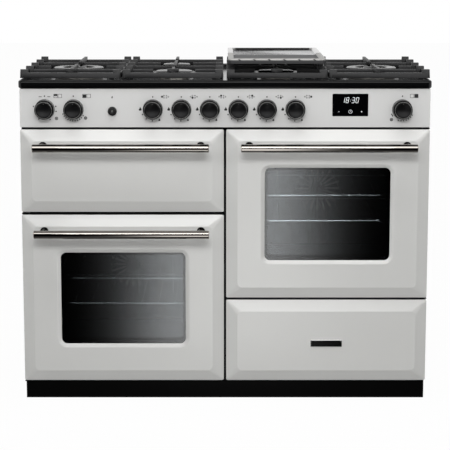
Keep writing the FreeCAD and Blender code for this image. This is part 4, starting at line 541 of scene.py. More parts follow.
window_glass = door_glass("tinted_door_glass", "#dde1e3", "#e2e5e7")
clock_glass = moulded("black_clock_glass", "#030304", rough=0.06, grain_mm=40, strength=0.01, index=1.35)
knob_satin = moulded("satin_black_knob", "#0b0b0c", rough=0.36, grain_mm=0.7, strength=0.15, index=1.2)
black_plastic = moulded("black_moulded_plastic", "#0a0a0a", rough=0.4, grain_mm=0.8, strength=0.3, index=1.3)
ceramic = moulded("electrode_ceramic", "#e6e0d2", rough=0.35, grain_mm=1.5, strength=0.1)
print(window_glass.name, knob_satin.name)

# %% Braided rope
def braided(name, shade, deep, strand_mm):
    finish, tree, skin, at = new_finish(name, Roughness=0.85, Sheen_Weight=0.2)
    waves_scale = 2 * per_metre(strand_mm * 2 * math.pi)
    heights = []
    for turn in (math.radians(35), math.radians(-35)):
        lean = add(tree, "ShaderNodeMapping", inputs={"Vector": at, "Rotation": (0, turn, 0)})
        waves = add(tree, "ShaderNodeTexWave", inputs={"Vector": lean, "Scale": waves_scale})
        heights.append(waves.outputs["Fac"])
    plait = add(tree, "ShaderNodeMath", {"operation": "MAXIMUM"}, {0: heights[0], 1: heights[1]})
    tone = add(tree, "ShaderNodeMixRGB", inputs={"Fac": plait, 1: linear(deep), 2: linear(shade)})
    bump = add(tree, "ShaderNodeBump", inputs={"Height": plait, "Strength": 0.8, "Distance": 0.0008})
    feed(tree, skin, Base_Color=tone, Normal=bump)
    return finish


seal_yarn = braided("braided_glass_yarn", "#4a4a48", "#1c1c1b", strand_mm=1.6)
print(seal_yarn.name)

# %% [markdown]
# ## Finishes on the solids
# The table gives each finish the solids that wear it. Assigning to a material slot leaves the solid itself
# as it is. The sides wear the plinth's dark enamel, and the back stays in zinc, because it faces the wall.

# %% Dress the solids
knobs = [name for name in nodes if "knob" in name]
wears = {
    stone_front: ["left_door_skin", "right_door_skin", "grill_front", "drawer_front"],
    stone_fascia: ["control_panel"],
    black_enamel: ["hob_trim"],
    hob_enamel: ["hob_tray"],
    plinth_enamel: ["plinth", "side_panels", "front_frame"],
    oven_enamel: ["left_oven_liner", "right_oven_liner", "left_door_liner", "right_door_liner",
                  "grill_chamber", "grill_pan", "fan_covers"],
    cap_enamel: ["burner_caps"],
    bar_steel: ["left_door_handle", "right_door_handle", "grill_handle"],
    chromed_wire: ["oven_shelves", "oven_ladders", "grill_trivet"],
    dark_steel: ["heating_elements", "fan_motors", "left_oven_fan", "right_oven_fan", "left_door_hinges",
                 "right_door_hinges"],
    runner_steel: ["runner_outer_rails", "grill_runner_middle", "levelling_feet"],
    zinc_sheet: ["back_panel", "chassis", "grill_carriage", "drawer_box"],
    support_iron: ["pan_support_left", "pan_support_centre_left", "pan_support_centre_right",
                   "pan_support_right"],
    crown_alloy: ["burner_bodies"],
    plate_alloy: ["griddle"],
    brass: ["control_valves"],
    gas_tube: ["gas_pipework"],
    window_glass: ["left_door_glass", "right_door_glass"],
    clock_glass: ["display_panel"],
    knob_satin: knobs,
    black_plastic: ["igniter_button"],
    ceramic: ["burner_probes"],
    seal_yarn: ["oven_seals"],
}
for finish, names in wears.items():
    for name in names:
        mesh = nodes[name].data
        if not mesh.materials:
            mesh.materials.append(finish)
        for place in range(len(mesh.materials)):
            mesh.materials[place] = finish
left_bare = sorted(set(nodes) - {name for names in wears.values() for name in names})
print("solids without a finish:", left_bare)

# %% [markdown]
# ## Helpers for small pieces
# A piece is a plain mesh in the cooker's own frame. Printed marks are thin films that lie on a flat
# front, so one helper takes outlines in the plane of the front (X across, Z up) and gives them a thickness
# towards -Y. Another joins outlines that lie at different depths by walls: its ends stay open as on a turned
# ring, or get caps as on a plate, or the last outline is joined to the first as round a frame.

# %% Mesh helpers
def keep_piece(name, mesh, finish, body, smooth=True):
    """A mesh made into a named piece that wears the finish and rides on the body."""
    mesh.materials.clear()
    mesh.materials.append(finish)
    for face in mesh.polygons:
        face.use_smooth = smooth
        face.material_index = 0
    piece = bpy.data.objects.new(name, mesh)
    shelf.objects.link(piece)
    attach(piece, body)
    return piece


def mesh_of(name, shape, tidy_normals=True):
    """The plain mesh of a shape that was built up point by point."""
    if tidy_normals:
        bmesh.ops.recalc_face_normals(shape, faces=shape.faces)
    mesh = bpy.data.meshes.new(name)
    shape.to_mesh(mesh)
    shape.free()
    return mesh


def films(name, outlines, front, thickness, finish, body):
    """Outlines of (x, z) points in metres as films that stand proud of the plane y = front."""
    shape = bmesh.new()
    for outline in outlines:
        near = [shape.verts.new((x, front - thickness, z)) for x, z in outline]
        far = [shape.verts.new((x, front + 0.2 * MM, z)) for x, z in outline]
        count = len(outline)
        shape.faces.new(near)
        shape.faces.new(far[::-1])
        for i in range(count):
            shape.faces.new((near[i], far[i], far[(i + 1) % count], near[(i + 1) % count]))
    return keep_piece(name, mesh_of(name, shape), finish, body, smooth=False)


def joined_outlines(outlines_by_depth, ends):
    """Outlines of equal length at their depths, joined by walls; the ends are open, capped or joined."""
    shape = bmesh.new()
    rings = [[shape.verts.new((x, y, z)) for x, z in outline] for y, outline in outlines_by_depth]
    for low, high in zip(rings, rings[1:] + (rings[:1] if ends == "joined" else [])):
        for i in range(len(low)):
            j = (i + 1) % len(low)
            shape.faces.new((low[i], low[j], high[j], high[i]))
    if ends == "capped":
        shape.faces.new(rings[0])
        shape.faces.new(rings[-1])
    return shape


def middle(node):
    """The centre of a solid's box."""
    low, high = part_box(node)
    return (low + high) / 2


bodies = frame["record"]["behaviour"]["bodies"]
body_of = {node: body for body, members in bodies.items() for node in members}
finish_of = {node: finish for finish, names in wears.items() for node in names}

# %% [markdown]
# ## Turned and cast pieces, smoothed
# A solid comes in as loose triangles, so a tube shows flats and a casting has razor edges. Light finds both
# at once. The pieces that turn or shine get a merged copy with smooth shading, and the castings also get
# their edges rounded by a Bevel modifier, by the millimetre or so that a sand mould leaves.

# %% Smoothed copies
def merged_copy(node):
    """The solid's mesh with its doubled corners merged and its flat faces made whole again."""
    shape = bmesh.new()
    shape.from_mesh(nodes[node].data)
    bmesh.ops.remove_doubles(shape, verts=shape.verts, dist=0.00002)
    bmesh.ops.dissolve_limit(shape, angle_limit=math.radians(0.6), verts=shape.verts, edges=shape.edges)
    return mesh_of(node + "_smoothed", shape, tidy_normals=False)


def smoothed(node, edge_mm=0, crease=38):
    """A piece that stands for a node: smooth where the surface turns, with rounded edges if asked."""
    mesh = merged_copy(node)
    if edge_mm:
        blank = bpy.data.objects.new(node + "_blank", mesh)
        shelf.objects.link(blank)
        rounding = blank.modifiers.new("rounding", "BEVEL")
        rounding.width = edge_mm * MM
        rounding.segments = 2
        rounding.limit_method = "ANGLE"
        rounding.angle_limit = math.radians(34)
        bpy.context.view_layer.update()
        mesh = bpy.data.meshes.new_from_object(blank.evaluated_get(bpy.context.evaluated_depsgraph_get()))
        mesh.name = node + "_smoothed"
        bpy.data.objects.remove(blank)
    piece = keep_piece(node + "_smoothed", mesh, finish_of[node], body_of[node])
    mesh.set_sharp_from_angle(angle=math.radians(crease))
    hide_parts(node)
    return piece


turned_nodes = [name for name in nodes if name.endswith("_handle") or name in knobs]
turned_nodes += ["burner_bodies", "burner_caps", "igniter_button"]
cast_nodes = {name: 1.3 for name in nodes if name.startswith("pan_support")}
cast_nodes["griddle"] = 0.8
for name in turned_nodes:
    smoothed(name)
for name, edge_mm in cast_nodes.items():
    piece = smoothed(name, edge_mm, 60)
    print(piece.name, len(piece.data.polygons), "faces")

# %% [markdown]
# ## Printed dials
# The fascia is screen printed in dark ink before its last firing: a dot over each knob, flames for high
# and low, and small dots between. What repeats round every knob is one rule, so a small node tree lays the
# dots: points on an arc, a disc on each point, made real and given its ink.

# %% Inks
def printed_ink(name, shade):
    finish, tree, skin, at = new_finish(name, IOR=1.3)
    screen = add(tree, "ShaderNodeTexNoise", inputs={"Vector": at, "Scale": per_metre(0.25), "Detail": 2})
    tone = add(tree, "ShaderNodeMixRGB",
               inputs={"Fac": screen.outputs["Fac"], 1: linear(shade), 2: linear("#242424")})
    rough = add(tree, "ShaderNodeMapRange", inputs={"Value": screen.outputs["Fac"], **between(0.45, 0.6)})
    feed(tree, skin, Base_Color=tone, Roughness=rough)
    return finish


dark_ink = printed_ink("screen_printed_ink", "#0c0c0c")
print(dark_ink.name)


# %% Arc of dots
def new_tree(name, **sizes):
    """An empty geometry tree with named inputs, and the sockets that they come in by."""
    tree = bpy.data.node_groups.new(name, "GeometryNodeTree")
    tree.interface.new_socket("Geometry", in_out="INPUT", socket_type="NodeSocketGeometry")
    kinds = {float: "NodeSocketFloat", int: "NodeSocketInt", object: "NodeSocketMaterial"}
    for label, kind in sizes.items():
        tree.interface.new_socket(label, in_out="INPUT", socket_type=kinds[kind])
    tree.interface.new_socket("Geometry", in_out="OUTPUT", socket_type="NodeSocketGeometry")
    given = add(tree, "NodeGroupInput")
    return tree, given.outputs


def close_tree(tree, geometry, finish):
    """The end of a tree: copies made real, and given their finish."""
    real = add(tree, "GeometryNodeRealizeInstances", inputs={"Geometry": geometry})
    worn = add(tree, "GeometryNodeSetMaterial", inputs={"Geometry": real, "Material": finish})
    add(tree, "NodeGroupOutput", inputs={"Geometry": worn})
    return tree


def grow(name, tree, start, values, body, smooth=True):
    """Runs a tree on a starting mesh and keeps what it makes as a plain piece."""
    seed = bpy.data.objects.new(name + "_seed", start)
    shelf.objects.link(seed)
    growth = seed.modifiers.new(name, "NODES")
    growth.node_group = tree
    for socket in tree.interface.items_tree:
        if socket.in_out == "INPUT" and socket.name in values:
            growth[socket.identifier] = values[socket.name]
    bpy.context.view_layer.update()
    mesh = bpy.data.meshes.new_from_object(seed.evaluated_get(bpy.context.evaluated_depsgraph_get()))
    seed.modifiers.remove(growth)
    bpy.data.objects.remove(seed)
    mesh.name = name
    finish = next(value for value in values.values() if isinstance(value, bpy.types.Material))
    return keep_piece(name, mesh, finish, body, smooth)


def arc_of_dots():
    """A thin disc of ink on every point."""
    tree, given = new_tree("arc_of_dots", Dot=float, Film=float, Ink=object)
    disc = add(tree, "GeometryNodeMeshCircle", {"fill_type": "NGON"},
               {"Vertices": 12, "Radius": given["Dot"]})
    thick = add(tree, "GeometryNodeExtrudeMesh", inputs={"Mesh": disc, "Offset Scale": given["Film"]})
    stand = add(tree, "GeometryNodeTransform",
                inputs={"Geometry": thick, "Rotation": (math.radians(90), 0, 0)})
    spread = add(tree, "GeometryNodeInstanceOnPoints",
                 inputs={"Points": given["Geometry"], "Instance": stand})
    return close_tree(tree, spread, given["Ink"])


dots_tree = arc_of_dots()
print("inputs:", [s.name for s in dots_tree.interface.items_tree if s.in_out == "INPUT"])

# %% Where the marks of each dial go
INK_FILM = 0.06 * MM
fascia_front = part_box("control_panel")[0].y
ARC_RADIUS = 30.5
gas_dials = [f"gas_knob_{i}" for i in range(1, 7)]
dots_of = {name: (33, [207, 235, 267]) for name in gas_dials}
dots_of["grill_knob"] = (35, [15, 350, 238, 297, 165])
dots_of["left_oven_knob"] = (35, [204 + 12.2 * i for i in range(11)])
dots_of["right_oven_knob"] = (35, [206, 214] + [252 + 13 * i for i in range(7)])


def around(centre, radius_mm, degrees):
    """A point of the fascia at a radius and an angle, from the right and anticlockwise, about a dial."""
    angle = math.radians(degrees)
    return centre.x + radius_mm * MM * math.cos(angle), centre.z + radius_mm * MM * math.sin(angle)


dot_points = []
for name, (top_radius, angles) in dots_of.items():
    dot_points.append(around(middle(name), top_radius, 90))
    dot_points.extend(around(middle(name), ARC_RADIUS, angle) for angle in angles)
dots = bpy.data.meshes.new("dial_dots")
dots.from_pydata([(x, fascia_front, z) for x, z in dot_points], [], [])
dial_dots = grow("dial_dots", dots_tree, dots, {"Dot": 1.9 * MM, "Film": INK_FILM, "Ink": dark_ink},
                 "carcass", smooth=False)
print("dots:", len(dot_points), "faces:", len(dial_dots.data.polygons))

# %% [markdown]
# ### Flames, rings and oven signs
# The rest of the print is a few signs that differ from dial to dial: a large and a small flame, the plan
# of the six burners with one filled in, and the plan of the cooker's cavities with one filled in.

# %% Signs
def flame_outline(x, z, tall_mm):
    """A flame whose waist, shoulders and tip are given for a height of one."""
    unit = ((0, 1), (0.26, 0.62), (0.42, 0.3), (0.36, 0.06), (0.2, -0.02), (0, -0.05), (-0.2, -0.02),
            (-0.36, 0.06), (-0.42, 0.3), (-0.22, 0.5), (-0.12, 0.72))
    tall = tall_mm * MM
    return [(x + u * tall, z + (v - 0.45) * tall) for u, v in unit]


def disc_outline(x, z, radius_mm, count=16):
    angles = [2 * math.pi * i / count for i in range(count)]
    return [(x + radius_mm * MM * math.cos(a), z + radius_mm * MM * math.sin(a)) for a in angles]


def bar_outline(x, z, wide_mm, tall_mm):
    w, t = wide_mm * MM / 2, tall_mm * MM / 2
    return [(x - w, z - t), (x + w, z - t), (x + w, z + t), (x - w, z + t)]


def hoop_outlines(x, z, radius_mm, line_mm, count=16):
    outer = disc_outline(x, z, radius_mm, count)
    inner = disc_outline(x, z, radius_mm - line_mm, count)
    return [[outer[i], outer[(i + 1) % count], inner[(i + 1) % count], inner[i]] for i in range(count)]


def frame_outlines(x, z, wide_mm, tall_mm, line_mm):
    w, t, d = wide_mm / 2, tall_mm / 2, line_mm / 2
    sides = ((0, t - d, wide_mm, line_mm), (0, d - t, wide_mm, line_mm),
             (d - w, 0, line_mm, tall_mm - 2 * line_mm), (w - d, 0, line_mm, tall_mm - 2 * line_mm))
    return [bar_outline(x + a * MM, z + b * MM, wide, tall) for a, b, wide, tall in sides]


print("a flame has", len(flame_outline(0, 0, 8)), "points")

# %% Print the signs
BURNER_PLAN = ((-8.4, 0), (-3.3, -2.7), (-3.3, 2.7), (3.3, 2.7), (3.3, -2.7), (8.4, 0))
CAVITY_STEP, CAVITY_SIDE = 5.7 * MM, 10.4
marks = []
for number, name in enumerate(gas_dials):
    hub = middle(name)
    marks.append(flame_outline(*around(hub, 33.5, 178), tall_mm=9.5))
    marks.append(flame_outline(*around(hub, 32.5, 302), tall_mm=6.5))
    sign_x, sign_z = hub.x + 33 * MM, hub.z + 33.5 * MM
    for place, (across, up) in enumerate(BURNER_PLAN):
        spot = (sign_x + across * MM, sign_z + up * MM)
        if place == number:
            marks.append(disc_outline(*spot, radius_mm=2.9))
        else:
            marks.extend(hoop_outlines(*spot, radius_mm=2.0, line_mm=1.0, count=12))
# for each knob: how far off its sign is, and the side, height and size of what is filled in there
for name, away, side, up, wide, tall in (("grill_knob", 35, -1, 2.5, 9.4, 5.2),
                                         ("left_oven_knob", 35, -1, -0.8, 9.4, 8.6),
                                         ("right_oven_knob", 31, 1, 0.4, 9.4, 9.0)):
    sign_x, sign_z = middle(name).x + away * MM, middle(name).z + 35.5 * MM
    for step in (-CAVITY_STEP, CAVITY_STEP):
        marks.extend(frame_outlines(sign_x + step, sign_z, CAVITY_SIDE, CAVITY_SIDE, line_mm=1.0))
    marks.append(bar_outline(sign_x + side * CAVITY_STEP, sign_z + up * MM, wide, tall))
for side in (-1, 1):
    hub = middle("grill_knob")
    marks.append(bar_outline(hub.x + side * 11.5 * MM, hub.z + 33.5 * MM, wide_mm=8, tall_mm=1.6))
for name, degrees in (("grill_knob", 322), ("left_oven_knob", 324), ("right_oven_knob", 224)):
    spot = around(middle(name), 39, degrees)
    marks.extend(hoop_outlines(*spot, radius_mm=4.4, line_mm=2.0))
    marks.append(disc_outline(*spot, radius_mm=1.8, count=10))
signs = films("dial_signs", marks, fascia_front, INK_FILM, dark_ink, "carcass")
print("signs:", len(marks), "faces:", len(signs.data.polygons))

# %% Spark sign over the igniter button
def zigzag(x, z, size_mm):
    u = size_mm * MM
    return [(x - 0.1 * u, z + 0.5 * u), (x + 0.3 * u, z + 0.5 * u), (x + 0.08 * u, z + 0.08 * u),
            (x + 0.34 * u, z + 0.08 * u), (x - 0.2 * u, z - 0.55 * u), (x - 0.02 * u, z - 0.08 * u),
            (x - 0.28 * u, z - 0.08 * u)]


button = middle("igniter_button")
films("spark_sign", [zigzag(button.x, button.z + 36 * MM, 7.5)], fascia_front, INK_FILM, dark_ink, "carcass")
button_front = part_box("igniter_button")[0].y
pale_ink = printed_ink("pale_printed_ink", "#8e8e8c")
films("button_spark", [zigzag(button.x, button.z, 7.5)], button_front, 0.04 * MM, pale_ink, "igniter_button")
print("sparks printed")

# %% [markdown]
# ## Rings on the knobs
# Each knob has a fine pale metal ring just inside its rim. It is a painted highlight: it stands for the
# light along the knob's glossy chamfer. A short filled line shows where the knob points. Round the knob's
# foot a black collar is pressed into the fascia. All are turned from small profiles; the ring and the line
# ride with their knob, and the collars stay with the fascia.

# %% Turned rings
bright_trim = brushed_metal("bright_turned_trim", "#d9d9d7", rough=0.16, spread=0.08, line_mm=1.0,
                            stretch=EVEN, strength=0.02)
# painted highlight: a pale metal ring that stands for the light along each knob's glossy chamfer
chamfer_highlight_trim = brushed_metal("chamfer_highlight_metal", "#868684", rough=0.24, spread=0.1, line_mm=1.0, stretch=EVEN,
                          strength=0.02)


def turned_rings(name, profiles_and_places, finish, body):
    """Profiles of (radius, height) in millimetres, turned about -Y at their places, as one piece."""
    gathered = bmesh.new()
    for profile, (x, y, z) in profiles_and_places:
        outlines = [(y - height * MM, disc_outline(x, z, radius, 64)) for radius, height in profile]
        spare = mesh_of("ring", joined_outlines(outlines, ends="open"))
        gathered.from_mesh(spare)
        bpy.data.meshes.remove(spare)
    return keep_piece(name, mesh_of(name, gathered, tidy_normals=False), finish, body)


def half_width_mm(node):
    """Half of a solid's width, for radii in millimetres."""
    low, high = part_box(node)
    return (high.x - low.x) / 2 / MM


collars = []
for name in knobs + ["igniter_button"]:
    r = half_width_mm(name)
    profile = ((r + 0.3, -0.2), (r + 0.3, 0.8), (r + 0.9, 1), (r + 1.4, 0.7), (r + 1.5, -0.2))
    collars.append((profile, (middle(name).x, fascia_front, middle(name).z)))
turned_rings("knob_collars", collars, black_plastic, "carcass")
for name in knobs:
    face_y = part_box(name)[0].y
    hub = middle(name)
    r = half_width_mm(name)
    profile = ((0.845 * r, -0.4), (0.845 * r, 0.1), (0.855 * r, 0.4), (0.875 * r, 0.4), (0.885 * r, 0.1),
               (0.885 * r, -0.4))
    # the painted highlight ring, just inside the knob's rim
    turned_rings(name + "_ring", [(profile, (hub.x, face_y + 0.5 * MM, hub.z))], chamfer_highlight_trim, name)
    pointer = bar_outline(hub.x, hub.z + (r - 8.6) * MM, wide_mm=0.8, tall_mm=3.6)
    films(name + "_pointer", [pointer], face_y + 0.9 * MM, 0.05 * MM, pale_ink, name)
print("collars and rings turned")

# %% [markdown]
# ## The clock
# Behind its black glass the clock has a seven segment display that leans a little to the right, and three
# touch signs. Each digit is the same seven bars, lit or not, so a table says which bars make each number.

# %% Clock digits
lit_white, lit_tree, lit_skin, lit_at = new_finish(
    "lit_white_segment", Base_Color=linear("#d8dde0"), Roughness=0.5, Emission_Color=linear("#eef4f8"),
    Emission_Strength=0.85)
glow = add(lit_tree, "ShaderNodeTexNoise", inputs={"Vector": lit_at, "Scale": per_metre(1.2)})
glow_level = add(lit_tree, "ShaderNodeMapRange",
                 inputs={"Value": glow.outputs["Fac"], **between(0.42, 0.56)})
feed(lit_tree, lit_skin, Roughness=glow_level)
SEGMENTS = {"0": "abcdef", "1": "bc", "3": "abcdg", "8": "abcdefg"}


def segment_outline(letter, left, base, wide, tall, line):
    """One bar of a seven segment digit, pointed at both ends."""
    half = tall / 2
    gap = line * 0.18
    level_bars = {"a": tall, "g": half, "d": 0.0}
    if letter in level_bars:
        y = base + level_bars[letter]
        x0, x1 = left + gap, left + wide - gap
        return [(x0, y), (x0 + line / 2, y + line / 2), (x1 - line / 2, y + line / 2), (x1, y),
                (x1 - line / 2, y - line / 2), (x0 + line / 2, y - line / 2)]
    x = left if letter in "ef" else left + wide
    y0 = base + (half if letter in "bf" else 0) + gap
    y1 = y0 + half - 2 * gap
    return [(x, y0), (x + line / 2, y0 + line / 2), (x + line / 2, y1 - line / 2), (x, y1),
            (x - line / 2, y1 - line / 2), (x - line / 2, y0 + line / 2)]


def digits(text, centre_x, base, wide, tall, line, step, lean):
    """The bars of a time of day about a centre, leaning to the right."""
    outlines = []
    colon_step = 0.45 * step
    left = centre_x - (len(text.replace(":", "")) * step + colon_step) / 2
    for sign in text:
        if sign == ":":
            for up in (0.3, 0.7):
                outlines.append(bar_outline(left + step * 0.1, base + tall * up, line / MM, line / MM))
            left += colon_step
            continue
        outlines.extend(segment_outline(s, left, base, wide, tall, line) for s in SEGMENTS[sign])
        left += step
    return [[(x + (z - base) * lean, z) for x, z in outline] for outline in outlines]


# %% Clock face
glass_low, glass_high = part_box("display_panel")
clock = middle("display_panel")
clock_shapes = digits("18:30", clock.x + 0.8 * MM, glass_high.z - 23.5 * MM, wide=6.2 * MM, tall=13.8 * MM,
                      line=0.8 * MM, step=10.6 * MM, lean=0.2)
touch_z, touch_away, round_x = glass_low.z + 12 * MM, 30 * MM, clock.x + 0.5 * MM
for side in (-1, 1):
    clock_shapes.append(bar_outline(clock.x + side * touch_away, touch_z, 3.8, 0.6))
clock_shapes.append(bar_outline(clock.x + touch_away, touch_z, 0.6, 3.8))
clock_shapes.extend(hoop_outlines(round_x, touch_z, 4.8, 0.55, 20))
clock_shapes.append(bar_outline(round_x, touch_z + 1 * MM, 0.6, 2.6))
films("clock_digits", clock_shapes, glass_low.y, 0.03 * MM, lit_white, "carcass")
print("clock shapes:", len(clock_shapes))

# %% [markdown]
# ## The plate on the drawer
# A small cast plate with a bright raised border and a black field is pinned to the drawer front. It is
# left bare here. A rounded outline is pushed out and bevelled for the border, and a second one, a little
# smaller, is laid inside it. Each step of the table says how proud, wide, tall and rounded it is.

# %% Bare plate
def rounded_outline(x, z, wide_mm, tall_mm, corner_mm, steps=6):
    """A rectangle with round corners, each of so many steps."""
    w, t, r = wide_mm * MM / 2, tall_mm * MM / 2, corner_mm * MM
    points = []
    for cx, cz, first in ((x + w - r, z + t - r, 0), (x - w + r, z + t - r, 90), (x - w + r, z - t + r, 180),
                          (x + w - r, z - t + r, 270)):
        for i in range(steps + 1):
            a = math.radians(first + 90 * i / steps)
            points.append((cx + r * math.cos(a), cz + r * math.sin(a)))
    return points


drawer_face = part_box("drawer_front")[0].y
PLATE_Z = 0.1597
plate_x = middle("drawer_front").x
plate_steps = {
    "bare_plate_border": (bright_trim, ((-0.3, 85, 19, 2.5), (1.4, 85, 19, 2.5), (1.8, 84, 18, 2.2),
                                        (1.8, 82.6, 16.6, 1.8), (1.3, 82, 16, 1.6))),
    "bare_plate_field": (black_enamel, ((1.2, 81.9, 15.9, 1.6), (1.5, 81.6, 15.6, 1.5))),
}
for name, (finish, steps) in plate_steps.items():
    outlines = [(drawer_face - proud * MM, rounded_outline(plate_x, PLATE_Z, wide, tall, corner))
                for proud, wide, tall, corner in steps]
    mesh = mesh_of(name, joined_outlines(outlines, ends="capped"))
    keep_piece(name, mesh, finish, "storage_drawer", smooth=False)
print("plate at", round(plate_x, 4), PLATE_Z)

# %% [markdown]
# ## Rolled edges round the windows
# Where a door skin is rolled inwards round its window, the coat builds up into a soft bead. It is a thin
# shell over the outer part of the roll, half a millimetre deep: a few rounded outlines, each a little wider
# than the opening and proud of the skin by so much, are joined into a closed ring, so it follows the roll's
# slope round every corner.

# %% Rolled edges
WINDOW_WIDE, WINDOW_TALL, WINDOW_CORNER = 334, 250, 15
ROLL_PROFILE = ((11.2, 0.12), (10.1, 0.14), (4.5, -3.455), (4.5, -3.8), (10.0, -0.3), (11.2, -0.2))
for side, x, z in (("left", -WINDOW_X, LEFT_WINDOW_Z), ("right", WINDOW_X, RIGHT_WINDOW_Z)):
    raised_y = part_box(side + "_door_skin")[0].y
    outlines = []
    for away, proud in ROLL_PROFILE:
        wide, tall = WINDOW_WIDE + 2 * away, WINDOW_TALL + 2 * away
        outlines.append((raised_y - proud * MM, rounded_outline(x, z, wide, tall, WINDOW_CORNER + away, 8)))
    mesh = mesh_of(side + "_window_roll", joined_outlines(outlines, ends="joined"))
    keep_piece(side + "_window_roll", mesh, stone_front, side + "_door")
    mesh.set_sharp_from_angle(angle=math.radians(50))
print("rolled edges laid")

# %% [markdown]
# ## Printed borders on the door glass
# Door glass is printed black round its edge, on the inner side, so that the glue and the clips stay out of
# sight. The border is a thin frame right behind the outer pane, wider at its edge than the opening.

# %% Glass borders
BORDER_WIDE, BEHIND_FRONT, BORDER_THICK = 19, 4.05 * MM, 0.15 * MM
for side in ("left", "right"):
    name, glass = side + "_door_border", side + "_door_glass"
    low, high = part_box(glass)
    hub = middle(glass)
    wide, tall = (high.x - low.x) / MM - 4, (high.z - low.z) / MM - 4
    outer = rounded_outline(hub.x, hub.z, wide, tall, 16)
    inner = rounded_outline(hub.x, hub.z, wide - 2 * BORDER_WIDE, tall - 2 * BORDER_WIDE, 12)
    front, back = low.y + BEHIND_FRONT, low.y + BEHIND_FRONT + BORDER_THICK
    shape = joined_outlines([(front, outer), (front, inner), (back, inner), (back, outer)], ends="joined")
    keep_piece(name, mesh_of(name, shape), black_enamel, side + "_door", smooth=False)
print("glass borders laid")

# %% [markdown]
# ## Notches of the griddle
# The top of the griddle's front edge is ground bright, and the slanted grooves of its front strip run out
# through it. Where each groove ends, the edge shows a short dark notch, laid over the face and down from
# its top.

# %% Notches in the front edge
NOTCHES, NOTCH_PITCH = 6, 40 * MM
foot_z, top_z = griddle_high.z - 5.0 * MM, griddle_high.z - 0.6 * MM
notches = []
for place in range(NOTCHES):
    notch_x = middle("griddle").x + (place - (NOTCHES - 1) / 2) * NOTCH_PITCH
    corners = ((0.6, foot_z), (5.4, foot_z), (-0.6, top_z), (-5.4, top_z))
    notches.append([(notch_x + x * MM, z) for x, z in corners])
notch_coat = moulded("notch_coating", "#0b0b0c", rough=0.5, grain_mm=0.8, strength=0.2, index=1.3)
films("griddle_notches", notches, griddle_low.y, 0.05 * MM, notch_coat, "griddle")
print("notches:", len(notches))

# %% [markdown]
# ## Oven shelves
# An oven shelf follows one rule: a thick wire is bent round the edge, and thinner wires cross it at an even
# pitch, each end rising over the edge wire, where a small bead of weld holds it. Modelling one by hand and
# copying wires would work, but a node tree keeps the rule itself, with every size a named input. Curves give
# the centrelines, Curve to Mesh gives them their gauge, and a point for each shelf puts it in its oven.

# %% Wire shelf tree
RISE_STARTS, RISE_ENDS = 0.45, 0.485


